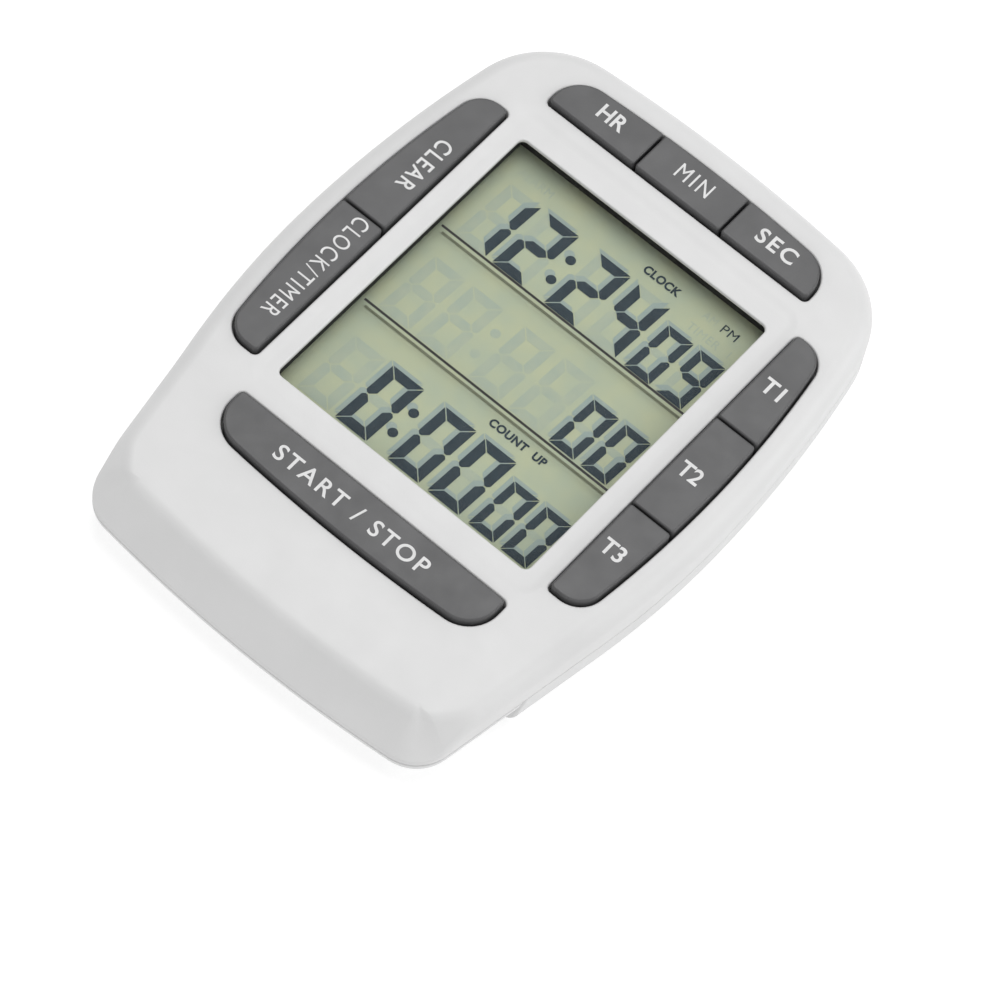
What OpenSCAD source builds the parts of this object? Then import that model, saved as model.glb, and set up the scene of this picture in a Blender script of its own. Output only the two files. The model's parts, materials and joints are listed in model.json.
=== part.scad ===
// Three-channel bench timer, lying on its back.
// X is across the case, +Y runs from the chin to the top edge, +Z is out of the display.
// The origin is on the resting plane, under the middle of the case.

/* [Case] */
// Width across the widest part of the case
case_w = 65; // [65:1:70]
// Length from the tip of the chin to the top edge
case_l = 90; // [90:1:94]
// Thickness from the resting face to the key tops
case_t = 10; // [10:0.1:10.6]
// Wall thickness of the front moulding
front_wall = 1.6; // [1.4:0.1:1.7]
// Wall thickness of the rear moulding
rear_wall = 1.5; // [1.3:0.1:1.6]
// Height of the parting line above the resting face
parting_z = 3.9; // [3.8:0.1:4]
// Radius of the edge around the front face
front_edge_r = 3; // [2.5:0.1:3]
// How far the chin's underside is lifted off the resting plane
chin_lift = 1.6; // [1.4:0.1:1.7]
// How far the two ends of the case are moved towards the chin, measured from the middle of the layout
chin_shift = 0.5; // [0:0.1:0.5]
// How far the chin lies below the raised front face
chin_drop = 0.45; // [0.3:0.05:0.5]

/* [Display] */
// Width of the display window
window_w = 38.8; // [36:0.2:38.8]
// Length of the display window
window_l = 45.3; // [43:0.1:45.3]
// Centre of the window, measured from the middle of the case
window_y = 5.4; // [5.3:0.1:5.5]
// Depth of the shallow frame pressed around the window
surround_depth = 0.3; // [0.2:0.05:0.4]
// Thickness of the clear window lens
lens_t = 0.8; // [0.6:0.1:0.8]

/* [Keys] */
// How far the keys stand above the front face
key_proud = 0.8; // [0.7:0.05:0.8]
// How far a key travels when it is pressed
key_travel = 0.8; // [0.5:0.05:0.8]
// Gap between a key and the edge of its opening
key_gap = 0.3; // [0.25:0.05:0.4]
// Gap between two keys that share an opening
key_split = 0.24; // [0.2:0.02:0.3]

/* [Rear] */
// Width of the fold-out stand
stand_w = 26; // [22:1:26]
// Length of the stand from its hinge to its free end
stand_l = 34; // [30:1:34]
// Radius of the stand's hinge pin
pin_r = 0.6; // [0.5:0.05:0.6]
// Radius of each magnet
magnet_r = 5; // [4:0.5:5]
// Radius of the button cell
cell_r = 5.8; // [5.5:0.1:5.8]
// Height of the button cell
cell_t = 3.05; // [2.6:0.05:3.05]

/* [Hidden] */
$fn = 48;
eps = 0.01;

white = "#e6e6e8";
key_grey = "#6d6e70";
black = "#1d1b1c";
steel = "#b9bcc0";

// ---- heights, from the resting face up
face_z = case_t - key_proud;
chin_z = face_z - chin_drop;
surround_z = face_z - surround_depth;
ceiling_z = face_z - front_wall;
lip_z = surround_z - 0.35;
lens_top = surround_z - 1.6;
lens_bottom = lens_top - lens_t;
board_z = 3.4;
board_t = 0.8;
board_top = board_z + board_t;
mat_top = board_top + 0.5;
dome_top = mat_top + 1.2;
flange_t = 0.6;
flange_top = ceiling_z - 0.1;
flange_z = flange_top - flange_t;
cover_top = parting_z - 0.15;
cover_floor = chin_lift + 0.9;
tray_z = cover_floor + 0.15;
cell_z = tray_z + 0.25;

// ---- convex outlines made of arcs
// An arc is [centre x, centre y, radius]. Arcs run anticlockwise around an outline, and corners[i]
// is the radius that rounds the join of arc i and the next one, or 0 where the two are tangent.
flat_r = 20000;
function edge(normal, distance) =
    [(distance - flat_r) * cos(normal), (distance - flat_r) * sin(normal), flat_r];
function mirrored(arc) = [-arc[0], arc[1], arc[2]];
function grown(arcs, by) = [for (i = [0:len(arcs) - 1]) [arcs[i][0], arcs[i][1], arcs[i][2] + by[i]]];
function bearing(from, to) = atan2(to[1] - from[1], to[0] - from[0]);
function turn(a, b) = (b - a + 720) % 360;
function corner_centre(a, b, r) =
    let (
        ra = a[2] - r,
        rb = b[2] - r,
        dx = b[0] - a[0],
        dy = b[1] - a[1],
        d = sqrt(dx * dx + dy * dy),
        along = (ra * ra - rb * rb + d * d) / (2 * d),
        off = sqrt(max(0, ra * ra - along * along))
    )
    [a[0] + (dx * along - dy * off) / d, a[1] + (dy * along + dx * off) / d];
function arc_points(centre, r, from, span, n) =
    [for (k = [0:n - 1]) [centre[0] + r * cos(from + span * k / n), centre[1] + r * sin(from + span * k / n)]];
function outline(arcs, corners, inset = 0, edge_n = 6, corner_n = 8) =
    let (
        n = len(arcs),
        a = [for (arc = arcs) [arc[0], arc[1], arc[2] - inset]],
        r = [for (c = corners) c > 0 ? max(c - inset, 0.2) : 0],
        k = [for (i = [0:n - 1]) corner_centre(a[i], a[(i + 1) % n], r[i])]
    )
    [for (i = [0:n - 1])
        let (
            start = bearing(a[i], k[(i + n - 1) % n]),
            end = bearing(a[i], k[i]),
            next = bearing(a[(i + 1) % n], k[i]),
            rim = arc_points(a[i], a[i][2], start, turn(start, end), edge_n),
            bend = r[i] > 0 ? arc_points(k[i], r[i], end, turn(end, next), corner_n) : []
        )
        each concat(rim, bend)
    ];

// ---- the case outline: bowed sides, a taper to the chin, and slightly bowed ends
waist_y = 3.4;
upper_r = 165;
lower_r = 120;
end_r = 200;
taper = asin(20 / lower_r);
shoulder_r = 12.4;
chin_corner_r = 5.6;
upper_arc = [case_w / 2 - upper_r, waist_y, upper_r];
lower_arc = [case_w / 2 - lower_r, waist_y, lower_r];
taper_arc = [
    lower_arc[0] + (lower_r - flat_r) * cos(taper),
    lower_arc[1] - (lower_r - flat_r) * sin(taper),
    flat_r
];
top_arc = [0, case_l / 2 - chin_shift - end_r, end_r];
chin_arc = [0, end_r - case_l / 2 - chin_shift, end_r];
case_arcs = [
    taper_arc, lower_arc, upper_arc, top_arc,
    mirrored(upper_arc), mirrored(lower_arc), mirrored(taper_arc), chin_arc
];
case_corners = [0, 0, shoulder_r, shoulder_r, 0, 0, chin_corner_r, chin_corner_r];
function case_outline(inset = 0) = outline(case_arcs, case_corners, inset);

// The raised front face ends in a crease that curves below the lowest key
crease_y = -30.5;
crease_r = 225;
crease_corner_r = 8.2;
crease_inset = 3.3;
crease_arc = [0, crease_y + crease_r + crease_inset, crease_r + crease_inset];
face_arcs = [for (i = [0:7]) i < 7 ? case_arcs[i] : crease_arc];
face_corners = [
    0, 0, shoulder_r, shoulder_r, 0, 0,
    crease_corner_r + crease_inset, crease_corner_r + crease_inset
];

// ---- keys: [arcs right, top, left, bottom], [corner radii], [which edges face the case], [stem x, y]
row_top = 40.4;
row_bottom = 33.7;
row_half = 20.6;
row_arc_r = 220;
row_split_x = 6.75;
side_inner = 22.5;
side_outer = 29.4;
side_arc_r = 150;
side_mid_y = 4.4;
side_top = 29.6;
side_bottom = -17.5;
right_splits = [13.9, -2.1];
left_split = 6;
start_top = -21.9;
start_bottom = -29.15;
start_half = 20.7;
start_arc_r = 225;
big_corner = 4.6;
side_corner = 3.7;
small_corner = 0.8;
tight_corner = 0.4;

row_arc = [0, row_top - row_arc_r, row_arc_r];
row_slot = [edge(0, row_half), row_arc, edge(180, row_half), edge(270, -row_bottom)];
row_corners = [big_corner, big_corner, small_corner, small_corner];
bulge = [side_outer - side_arc_r, side_mid_y, side_arc_r];
right_slot = [bulge, edge(90, side_top), edge(180, -side_inner), edge(270, -side_bottom)];
right_corners = [side_corner, small_corner, small_corner, side_corner];
left_slot = [edge(0, -side_inner), edge(90, side_top), mirrored(bulge), edge(270, -side_bottom)];
left_corners = [small_corner, side_corner, side_corner, small_corner];
start_arc = [0, start_bottom + start_arc_r, start_arc_r];
start_slot = [edge(0, start_half), edge(90, start_top), edge(180, start_half), start_arc];
start_corners = [small_corner, small_corner, big_corner, big_corner];
g = -key_gap;
s = key_split / 2;
function right_key(top, bottom, at_top, at_bottom, corners, stem_y) = [
    [bulge, edge(90, top), edge(180, -side_inner), edge(270, -bottom)],
    [g, at_top ? g : -s, g, at_bottom ? g : -s],
    corners,
    [25.6, stem_y]
];
function left_key(top, bottom, at_top, at_bottom, corners, stem_y) = [
    [edge(0, -side_inner), edge(90, top), mirrored(bulge), edge(270, -bottom)],
    [g, at_top ? g : -s, g, at_bottom ? g : -s],
    corners,
    [-25.6, stem_y]
];
function row_key(right, left, at_right, at_left, corners, stem_x) = [
    [edge(0, right), row_arc, edge(180, -left), edge(270, -row_bottom)],
    [at_right ? g : -s, g, at_left ? g : -s, g],
    corners,
    [stem_x, 37]
];
KEY_HR = row_key(-row_split_x, -row_half, false, true, [tight_corner, 4.3, 0.6, tight_corner], -13.5);
KEY_MIN = row_key(row_split_x, -row_split_x, false, false, [0.4, 0.4, 0.4, 0.4], 0);
KEY_SEC = row_key(row_half, row_split_x, true, false, [4.3, tight_corner, tight_corner, 0.6], 13.5);
KEY_T1 = right_key(side_top, right_splits[0], true, false, [3.4, 0.6, tight_corner, tight_corner], 21.5);
KEY_T2 = right_key(right_splits[0], right_splits[1], false, false, [0.4, 0.4, 0.4, 0.4], 5.9);
KEY_T3 = right_key(right_splits[1], side_bottom, false, true, [tight_corner, tight_corner, 0.6, 3.4], -9.5);
KEY_CLEAR = left_key(side_top, left_split, true, false, [0.6, 3.4, tight_corner, tight_corner], 17.5);
KEY_CLOCK = left_key(left_split, side_bottom, false, true, [tight_corner, tight_corner, 3.4, 0.6], -6);
KEY_START = [start_slot, [g, g, g, g], [0.6, 0.6, 4.3, 4.3], [0, -23.6]];
KEYS = [KEY_HR, KEY_MIN, KEY_SEC, KEY_T1, KEY_T2, KEY_T3, KEY_CLEAR, KEY_CLOCK, KEY_START];

// ---- places of what is inside
boss_top = [26, 35.2];
boss_low = [25, -24.2];
post_top = [22.9, 32];
post_low = [22.6, -20.3];
BOSSES = [for (p = [boss_top, boss_low]) for (side = [-1, 1]) [side * p[0], p[1]]];
POSTS = [for (p = [post_top, post_low]) for (side = [-1, 1]) [side * p[0], p[1]]];
frame_x = 21.2;
frame_y0 = window_y - 24;
frame_y1 = window_y + 26.9;
panel_x = 20.6;
panel_y0 = window_y - 23.2;
panel_y1 = window_y + 26.2;
rear_glass_y1 = window_y + 23.9;
hinge_y = 16;
hinge_z = 1.25;
pocket_depth = 1.95;
pocket_x = stand_w / 2 + 0.5;
housing_x = pocket_x + 1.8;
magnet_x = 9;
magnet_y = 31;
buzzer = [22.2, -8];
buzzer_r = 6.4;
cell_y = -36;
well_r = cell_r + 0.25;
chin_wall_y = -27.6;
chin_wall_slope = 0.47;
cover_gap = 0.15;
tray_y1 = -26.4;
tongue_x = 6;
leg_y = -30.05;

// ---- helpers
module bar(x0, x1, y0, y1, z0, z1) {
    translate([x0, y0, z0]) cube([x1 - x0, y1 - y0, z1 - z0]);
}

module slab(points, z0, z1) {
    translate([0, 0, z0]) linear_extrude(z1 - z0) polygon(points);
}

module post(p, r, z0, z1) {
    translate([p[0], p[1], z0]) cylinder(r = r, h = z1 - z0);
}

// A shell body from the parting line to a flat face, with a rounded edge that is longer at the chin
module rounded_body(z_edge, z_flat, side_r, chin_reach, chin_rise) {
    base = case_outline(0);
    side_in = case_outline(side_r);
    chin_in = case_outline(chin_reach);
    n = len(base);
    steps = 6;
    dir = z_flat > z_edge ? 1 : -1;
    blend = [for (p = base) let (t = min(1, max(0, (-36 - p[1]) / 7))) t * t * (3 - 2 * t)];
    inner = [for (j = [0:n - 1]) side_in[j] * (1 - blend[j]) + chin_in[j] * blend[j]];
    rise = [for (j = [0:n - 1]) side_r * (1 - blend[j]) + chin_rise * blend[j]];
    edge_ring = [for (p = base) [p[0], p[1], z_edge]];
    rings = [for (k = [0:steps]) for (j = [0:n - 1])
        let (
            a = 90 * k / steps,
            p = base[j] + (inner[j] - base[j]) * (1 - cos(a))
        )
        [p[0], p[1], z_flat - dir * rise[j] * (1 - sin(a))]
    ];
    up = [for (k = [0:steps]) for (j = [0:n - 1])
        let (
            p = k * n + j,
            q = k * n + (j + 1) % n
        )
        each [[p, p + n, q + n], [p, q + n, q]]
    ];
    floor_face = [for (j = [0:n - 1]) j];
    roof_face = [for (j = [0:n - 1]) (steps + 2) * n - 1 - j];
    faces = concat(up, [floor_face, roof_face]);
    turned = [for (f = faces) [for (i = [len(f) - 1:-1:0]) f[i]]];
    polyhedron(concat(edge_ring, rings), dir > 0 ? faces : turned, convexity = 4);
}

// ---- front case
module front_skin() {
    difference() {
        rounded_body(parting_z, face_z, front_edge_r, 5.3, 4.6);
        difference() {
            bar(-40, 40, -50, -18, chin_z, case_t);
            slab(outline(face_arcs, face_corners, crease_inset), chin_z - 1, case_t + 1);
        }
        slab(outline(surround_arcs(), [2, 2, 2, 2]), surround_z, case_t);
    }
}

function surround_arcs() = [
    edge(0, 21.6), edge(90, window_y + 26.2), edge(180, 21.6), edge(270, 25.2 - window_y)
];

module front_cavity() {
    inner = case_outline(front_wall + 0.2);
    intersection() {
        slab(inner, parting_z - 1, ceiling_z);
        bar(-40, 40, -30.2, 50, 0, 20);
    }
    intersection() {
        slab(inner, parting_z - 1, ceiling_z - 0.3);
        bar(-40, 40, -41.3, 0, 0, 20);
    }
    intersection() {
        slab(inner, parting_z - 1, 6.3);
        bar(-40, 40, -43.2, 0, 0, 20);
    }
}

module front_case() {
    color(white) difference() {
        union() {
            difference() {
                front_skin();
                front_cavity();
            }
            for (p = BOSSES) post(p, 2.3, parting_z, ceiling_z + 0.2);
            for (p = POSTS) post(p, 1.3, board_top, ceiling_z + 0.2);
        }
        for (p = BOSSES) post(p, 0.8, parting_z - 1, 7.1);
        for (p = POSTS) post(p, 0.5, board_top - 1, 7.1);
        bar(-window_w / 2, window_w / 2, window_y - window_l / 2, window_y + window_l / 2, 5, case_t);
        bar(-20.6, 20.6, window_y - 23.9, window_y + 23.9, ceiling_z - 1, lip_z);
        slab(outline(row_slot, row_corners), 5, case_t + 1);
        slab(outline(right_slot, right_corners), 5, case_t + 1);
        slab(outline(left_slot, left_corners), 5, case_t + 1);
        slab(outline(start_slot, start_corners), 5, case_t + 1);
    }
}

// ---- rear case
module stand_pocket() {
    bar(-pocket_x, pocket_x, hinge_y - stand_l - 0.5, hinge_y + 2.2, -1, pocket_depth);
    bar(-pocket_x, pocket_x, hinge_y - 1.9, hinge_y + 2.2, -1, hinge_z + 1.35);
    post([0, hinge_y - stand_l - 0.5], 4.5, -1, 1.2);
}

// Everything above or below the sloping joint between the rear case and the battery cover
function joint_y(z) = chin_wall_y - chin_wall_slope * (parting_z - z);
module joint_side(y_far, gap) {
    rotate([90, 0, 90]) linear_extrude(80, center = true) polygon([
        [joint_y(-1) + gap, -1],
        [joint_y(5) + gap, 5],
        [y_far, 5],
        [y_far, -1]
    ]);
}

module rear_block() {
    difference() {
        intersection() {
            rounded_body(parting_z, 0, 1.2, 1.2, 1.2);
            joint_side(60, 0);
        }
        intersection() {
            slab(case_outline(rear_wall + 0.2), rear_wall, parting_z + 1);
            bar(-40, 40, tray_y1, 60, 0, 10);
        }
    }
}

module locating_lip() {
    intersection() {
        difference() {
            slab(case_outline(front_wall + 0.32), parting_z - 0.6, parting_z + 0.9);
            slab(case_outline(front_wall + 0.95), parting_z - 2, parting_z + 2);
        }
        difference() {
            bar(-40, 40, -20, 50, 0, 10);
            for (p = BOSSES) post(p, 2.6, 0, 10);
        }
    }
}

module battery_tray() {
    intersection() {
        slab(case_outline(2.1), tray_z, cover_top);
        bar(-40, 40, -43, tray_y1, 0, 10);
    }
    post([0, cell_y], well_r + 0.8, tray_z, 6);
}

module rear_case() {
    color(white) difference() {
        union() {
            rear_block();
            locating_lip();
            battery_tray();
            bar(-housing_x, housing_x, hinge_y - stand_l - 1.8, hinge_y + 3.6, 0.5, pocket_depth + 0.8);
            bar(-housing_x, housing_x, hinge_y - 3, hinge_y + 3.6, 0.5, hinge_z + 2.05);
            for (side = [-1, 1]) post([side * magnet_x, magnet_y], magnet_r + 0.9, 0.5, 2.6);
            for (p = BOSSES) post(p, 2.6, 0.8, parting_z);
            post(buzzer, buzzer_r + 0.6, 1, 2.2);
        }
        stand_pocket();
        post(buzzer, buzzer_r - 0.8, rear_wall, 3);
        post([0, cell_y], well_r, 0, 7);
        bar(5.75, 6.15, cell_y - 2.5, -29, board_top - 0.1, 7);
        bar(-5.7, -2.3, leg_y - 1, -29, board_top - 0.1, 7);
        bar(-tongue_x - 0.3, tongue_x + 0.3, -30, chin_wall_y + 3.5, 1.7, cover_floor + 0.1);
        for (side = [-1, 1]) post([side * magnet_x, magnet_y], magnet_r + 0.1, -1, 1.8);
        for (p = BOSSES) post(p, 1.1, -1, 5);
        for (p = BOSSES) post(p, 1.95, -1, 1.9);
        for (a = [0:72:288]) post(buzzer + 2.2 * [cos(a), sin(a)], 0.6, -1, 3);
        translate([-housing_x + 0.6, hinge_y, hinge_z])
            rotate([0, 90, 0]) cylinder(r = pin_r, h = 2 * housing_x - 1.2);
    }
}

// ---- battery cover, which slides off the chin
module battery_cover() {
    color(white) {
        difference() {
            intersection() {
                rounded_body(cover_top, chin_lift, 1.9, 4.2, 2);
                joint_side(-50, -cover_gap);
            }
            intersection() {
                slab(case_outline(1.8), cover_floor, 10);
                bar(-40, 40, -43.3, -20, 0, 10);
            }
            for (k = [0:4]) bar(-7, 7, -41.6 + 2 * k, -41.1 + 2 * k, 0, chin_lift + 0.3);
        }
        bar(-tongue_x, tongue_x, chin_wall_y - 2, chin_wall_y + 3, 1.85, cover_floor);
    }
}

// ---- fold-out stand and its pin
module stand() {
    half = stand_w / 2;
    color(white) difference() {
        union() {
            bar(-half, half, hinge_y - stand_l, hinge_y, 0.1, 1.7);
            translate([-half, hinge_y, hinge_z]) rotate([0, 90, 0]) cylinder(r = 1.1, h = stand_w);
        }
        bar(-half + 5, half - 5, hinge_y - stand_l + 7, hinge_y - 8, -1, 0.7);
        translate([-half - 1, hinge_y, hinge_z])
            rotate([0, 90, 0]) cylinder(r = pin_r + 0.05, h = stand_w + 2);
    }
}

module stand_pin() {
    color(steel) translate([-housing_x + 0.6, hinge_y, hinge_z])
        rotate([0, 90, 0]) cylinder(r = pin_r, h = 2 * housing_x - 1.2);
}

module magnets() {
    color("#5a5b5f") for (side = [-1, 1]) post([side * magnet_x, magnet_y], magnet_r, 0.05, 1.75);
}

// ---- display
module lcd_frame() {
    color(black) difference() {
        union() {
            bar(-frame_x, frame_x, frame_y0, frame_y1, board_top, ceiling_z - 0.05);
            bar(-20.5, 20.5, window_y - 23.8, window_y + 23.8, 7, lip_z - 0.02);
        }
        bar(-window_w / 2, window_w / 2, window_y - window_l / 2, window_y + window_l / 2, 5, case_t);
        bar(-20.7, 20.7, window_y - 23.4, window_y + 25, 5, lens_top);
        bar(-20.7, 20.7, panel_y0 - 0.1, panel_y1 + 0.1, board_top - 1, lens_bottom);
    }
}

module window_lens() {
    color("#dfe8e6", 0.3) bar(-20.6, 20.6, window_y - 23.3, window_y + 24.9, lens_bottom, lens_top);
}

module lcd_polariser() {
    color("#b5bfa6") bar(-20.3, 20.3, panel_y0 + 0.2, window_y + 24.2, 6.26, lens_bottom - 0.04);
}

module lcd_front_glass() {
    color("#b9c4ac", 0.6) bar(-panel_x, panel_x, panel_y0, panel_y1, 5.71, 6.26);
}

module lcd_rear_glass() {
    color("#b9c4ac", 0.6) bar(-panel_x, panel_x, panel_y0, rear_glass_y1, 5.15, 5.7);
}

module lcd_reflector() {
    color("#b3bca0") bar(-20.3, 20.3, panel_y0 + 0.2, rear_glass_y1 - 0.1, 5, 5.15);
}

module zebra_strip() {
    color("#3a3a3c") bar(-19.5, 19.5, window_y + 24.2, window_y + 25.9, board_top, 5.71);
}

// ---- board and what it carries
module board_shape(inset) {
    difference() {
        union() {
            intersection() {
                polygon(case_outline(3 + inset));
                translate([-40, -18.5 + inset]) square([80, 48.9 - 2 * inset]);
            }
            translate([-21.8 + inset, -26.2 + inset]) square([43.6 - 2 * inset, 66.8 - 2 * inset]);
            translate([-24.4 + inset, -22 + inset]) square([48.8 - 2 * inset, 55.8 - 2 * inset]);
        }
        for (p = BOSSES) translate(p) circle(r = 3 + inset);
    }
}

module main_board() {
    color("#2f6b3a") difference() {
        translate([0, 0, board_z]) linear_extrude(board_t) board_shape(0);
        for (p = POSTS) post(p, 0.9, 0, 10);
    }
}

module chip_blob() {
    color(black) translate([-22, 4, board_z - 1.2]) {
        cylinder(r1 = 2.6, r2 = 4.4, h = 0.5);
        translate([0, 0, 0.5]) cylinder(r1 = 4.4, r2 = 5.1, h = 0.7);
    }
}

module crystal_can() {
    color(steel) translate([-22, -16, 2.5]) rotate([-90, 0, 0]) cylinder(r = 0.9, h = 6);
}

module board_parts() {
    color("#b99b6b") for (k = [0:3]) bar(-23.5, -20.5, 13 + 3 * k, 14.4 + 3 * k, 2.7, board_z);
    color("#c9b28a") for (k = [0:2]) bar(18.5, 20.3, 6 + 3.4 * k, 7.2 + 3.4 * k, 2.8, board_z);
    color("#3d4653") translate([24, 20, 2.1]) cylinder(r = 2, h = board_z - 2.1);
}

module keypad_mats() {
    color("#d8d9d6") {
        difference() {
            translate([0, 0, board_top]) linear_extrude(mat_top - board_top) difference() {
                board_shape(0.5);
                translate([-frame_x - 0.3, frame_y0 - 0.3])
                    square([2 * frame_x + 0.6, frame_y1 - frame_y0 + 0.6]);
                for (p = POSTS) translate(p) circle(r = 1.8);
                translate([-6.2, -27]) square([3.9, 2.6]);
                translate([5.2, -27]) square([2.8, 2.6]);
            }
            for (k = KEYS) post(k[3], 1.6, 0, 10);
        }
        for (k = KEYS) translate([k[3][0], k[3][1], board_top]) difference() {
            cylinder(r1 = 2.2, r2 = 1.4, h = dome_top - board_top);
            translate([0, 0, -0.01]) cylinder(r1 = 1.7, r2 = 0.9, h = 1);
        }
    }
}

// ---- one key: a cap with a retaining flange under the case, and a stem over its dome
module key_cap(key) {
    arcs = grown(key[0], key[1]);
    lips = [for (by = key[1]) by == g ? g + 0.95 : by];
    color(key_grey) {
        slab(outline(arcs, key[2]), flange_z, case_t);
        slab(outline(grown(key[0], lips), key[2]), flange_z, flange_top);
        post(key[3], 1.2, dome_top + 0.05, flange_z + 0.2);
    }
}

// ---- buzzer
module buzzer_plate() {
    color("#c8a54e") post(buzzer, buzzer_r, 2.2, 2.4);
}

module buzzer_ceramic() {
    color("#e2ddd0") post(buzzer, 4.4, 2.4, 2.55);
}

module buzzer_springs() {
    color(steel) {
        post([buzzer[0] - 1.5, buzzer[1]], 0.8, 2.55, board_z);
        post([buzzer[0] + 5.2, buzzer[1]], 0.8, 2.4, board_z);
    }
}

// ---- power
module battery_cell() {
    color(steel) {
        post([0, cell_y], cell_r, cell_z, cell_z + cell_t - 0.35);
        post([0, cell_y], cell_r - 1, cell_z, cell_z + cell_t);
    }
}

module contact_plus() {
    color("#d0cfc9") {
        bar(5.85, 6.05, -38, -25, board_top, 5.6);
        bar(5.85, 7.4, -26.1, -25, board_top, board_top + 0.2);
    }
}

module contact_minus() {
    color("#d0cfc9") {
        bar(-5.5, -2.5, -39, leg_y, 6.02, 6.2);
        bar(-5.5, -2.5, leg_y, leg_y + 0.18, board_top, 6.2);
        bar(-5.5, -2.5, leg_y, -25, board_top, board_top + 0.18);
    }
}

// ---- fasteners
module screw(p, head_r, head_z, head_t, shank_r, tip_z) {
    difference() {
        union() {
            post(p, head_r, head_z, head_z + head_t);
            post(p, shank_r, head_z, tip_z);
        }
        for (a = [0, 90]) translate([p[0], p[1], head_z]) rotate([0, 0, a])
            cube([head_r * 1.2, 0.35, 0.8], center = true);
    }
}

module case_screws() {
    color(steel) for (p = BOSSES) screw(p, 1.8, 0.7, 1.2, 0.8, 6.9);
}

module board_screws() {
    color(steel) for (p = POSTS) screw(p, 1.2, board_z - 0.7, 0.7, 0.5, 6.6);
}

front_case();
rear_case();
battery_cover();
stand();
stand_pin();
magnets();
lcd_frame();
window_lens();
lcd_polariser();
lcd_front_glass();
lcd_rear_glass();
lcd_reflector();
zebra_strip();
main_board();
chip_blob();
crystal_can();
board_parts();
keypad_mats();
key_cap(KEY_HR);  // key_hr
key_cap(KEY_MIN);  // key_min
key_cap(KEY_SEC);  // key_sec
key_cap(KEY_T1);  // key_t1
key_cap(KEY_T2);  // key_t2
key_cap(KEY_T3);  // key_t3
key_cap(KEY_CLEAR);  // key_clear
key_cap(KEY_CLOCK);  // key_clock_timer
key_cap(KEY_START);  // key_start_stop
buzzer_plate();
buzzer_ceramic();
buzzer_springs();
battery_cell();
contact_plus();
contact_minus();
case_screws();
board_screws();
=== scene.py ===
# %% [markdown]
# # A bench timer in white and grey ABS
# The object is a flat countdown timer: two white shells, nine grey keys around a large display, a
# sliding battery cover under the chin and a stand on the back. The engineering model is already
# loaded as a fixed frame, and every piece below is made in that frame. X runs across the case, +Y
# runs from the chin to the top edge, and +Z comes out of the display.

# %% Load the frame
import json
import math
import bmesh
import bpy
from mathutils import Matrix, Vector
from mathutils.geometry import delaunay_2d_cdt

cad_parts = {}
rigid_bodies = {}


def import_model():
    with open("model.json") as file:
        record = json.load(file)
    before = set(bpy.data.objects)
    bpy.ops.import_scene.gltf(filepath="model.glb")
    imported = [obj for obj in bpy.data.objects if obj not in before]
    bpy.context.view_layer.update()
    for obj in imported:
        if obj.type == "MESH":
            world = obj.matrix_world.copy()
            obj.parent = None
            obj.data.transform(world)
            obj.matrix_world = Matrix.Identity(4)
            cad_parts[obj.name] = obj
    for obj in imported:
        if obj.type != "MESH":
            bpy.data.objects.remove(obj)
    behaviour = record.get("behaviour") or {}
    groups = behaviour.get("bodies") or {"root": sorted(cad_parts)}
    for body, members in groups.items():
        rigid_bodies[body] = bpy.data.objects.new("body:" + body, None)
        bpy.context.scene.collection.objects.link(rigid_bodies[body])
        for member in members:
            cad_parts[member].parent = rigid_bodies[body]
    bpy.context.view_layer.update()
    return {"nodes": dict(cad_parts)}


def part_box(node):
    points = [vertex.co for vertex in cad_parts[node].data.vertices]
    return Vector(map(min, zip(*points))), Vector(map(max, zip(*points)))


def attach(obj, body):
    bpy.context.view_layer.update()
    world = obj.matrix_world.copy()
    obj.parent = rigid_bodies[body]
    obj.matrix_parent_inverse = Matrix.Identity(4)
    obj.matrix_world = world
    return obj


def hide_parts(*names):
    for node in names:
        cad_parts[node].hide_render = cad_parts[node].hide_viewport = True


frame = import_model()
MM = 0.001


def box_mm(node):
    """The lowest and highest corner of a CAD node, in millimetres."""
    low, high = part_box(node)
    return low / MM, high / MM


def linked(name, data):
    """A new object in the scene."""
    made = bpy.data.objects.new(name, data)
    bpy.context.collection.objects.link(made)
    return made


def mesh_of(name, points, edges, faces):
    """A mesh from points in millimetres."""
    mesh = bpy.data.meshes.new(name)
    mesh.from_pydata([(x * MM, y * MM, z * MM) for x, y, z in points], edges, faces)
    return mesh


def evaluated_mesh(made):
    """The plain mesh that an object's modifiers or its curve give."""
    return bpy.data.meshes.new_from_object(made.evaluated_get(bpy.context.evaluated_depsgraph_get()))


# %% [markdown]
# ## Camera
# The timer lies on its back and is seen from above, turned about 40 degrees. A long lens from 66 cm
# away keeps the perspective gentle. The camera is placed by three directions: what is to its right,
# what is up, and what lies behind it.

# %% Make the camera
CAMERA_AT = (166.1, -284.5, 571.9)
CAMERA_RIGHT = (0.7592, 0.6428, 0.1020)
CAMERA_UP = (-0.6048, 0.6388, 0.4756)
CAMERA_BACK = (0.2405, -0.4227, 0.8737)
FOCAL_LENGTH = 197.8
SENSOR = 36.0

camera = linked("camera", bpy.data.cameras.new("camera"))
camera.data.lens = FOCAL_LENGTH
camera.data.sensor_width = SENSOR
camera.data.clip_start = 0.05
camera.matrix_world = Matrix([
    (CAMERA_RIGHT[i], CAMERA_UP[i], CAMERA_BACK[i], CAMERA_AT[i] * MM) for i in range(3)
] + [(0, 0, 0, 1)])
bpy.context.scene.camera = camera
bpy.context.scene.view_settings.view_transform = "Standard"
print("camera distance, mm:", round(Vector(CAMERA_AT).length))

# %% [markdown]
# ## Colour and node helpers
# Colours are written as the hex values a painter would pick, and one function turns them into the
# linear values that a shader needs. One more function adds a node to any tree, sets it up and
# connects it, so that each material below reads as a short recipe.


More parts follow.
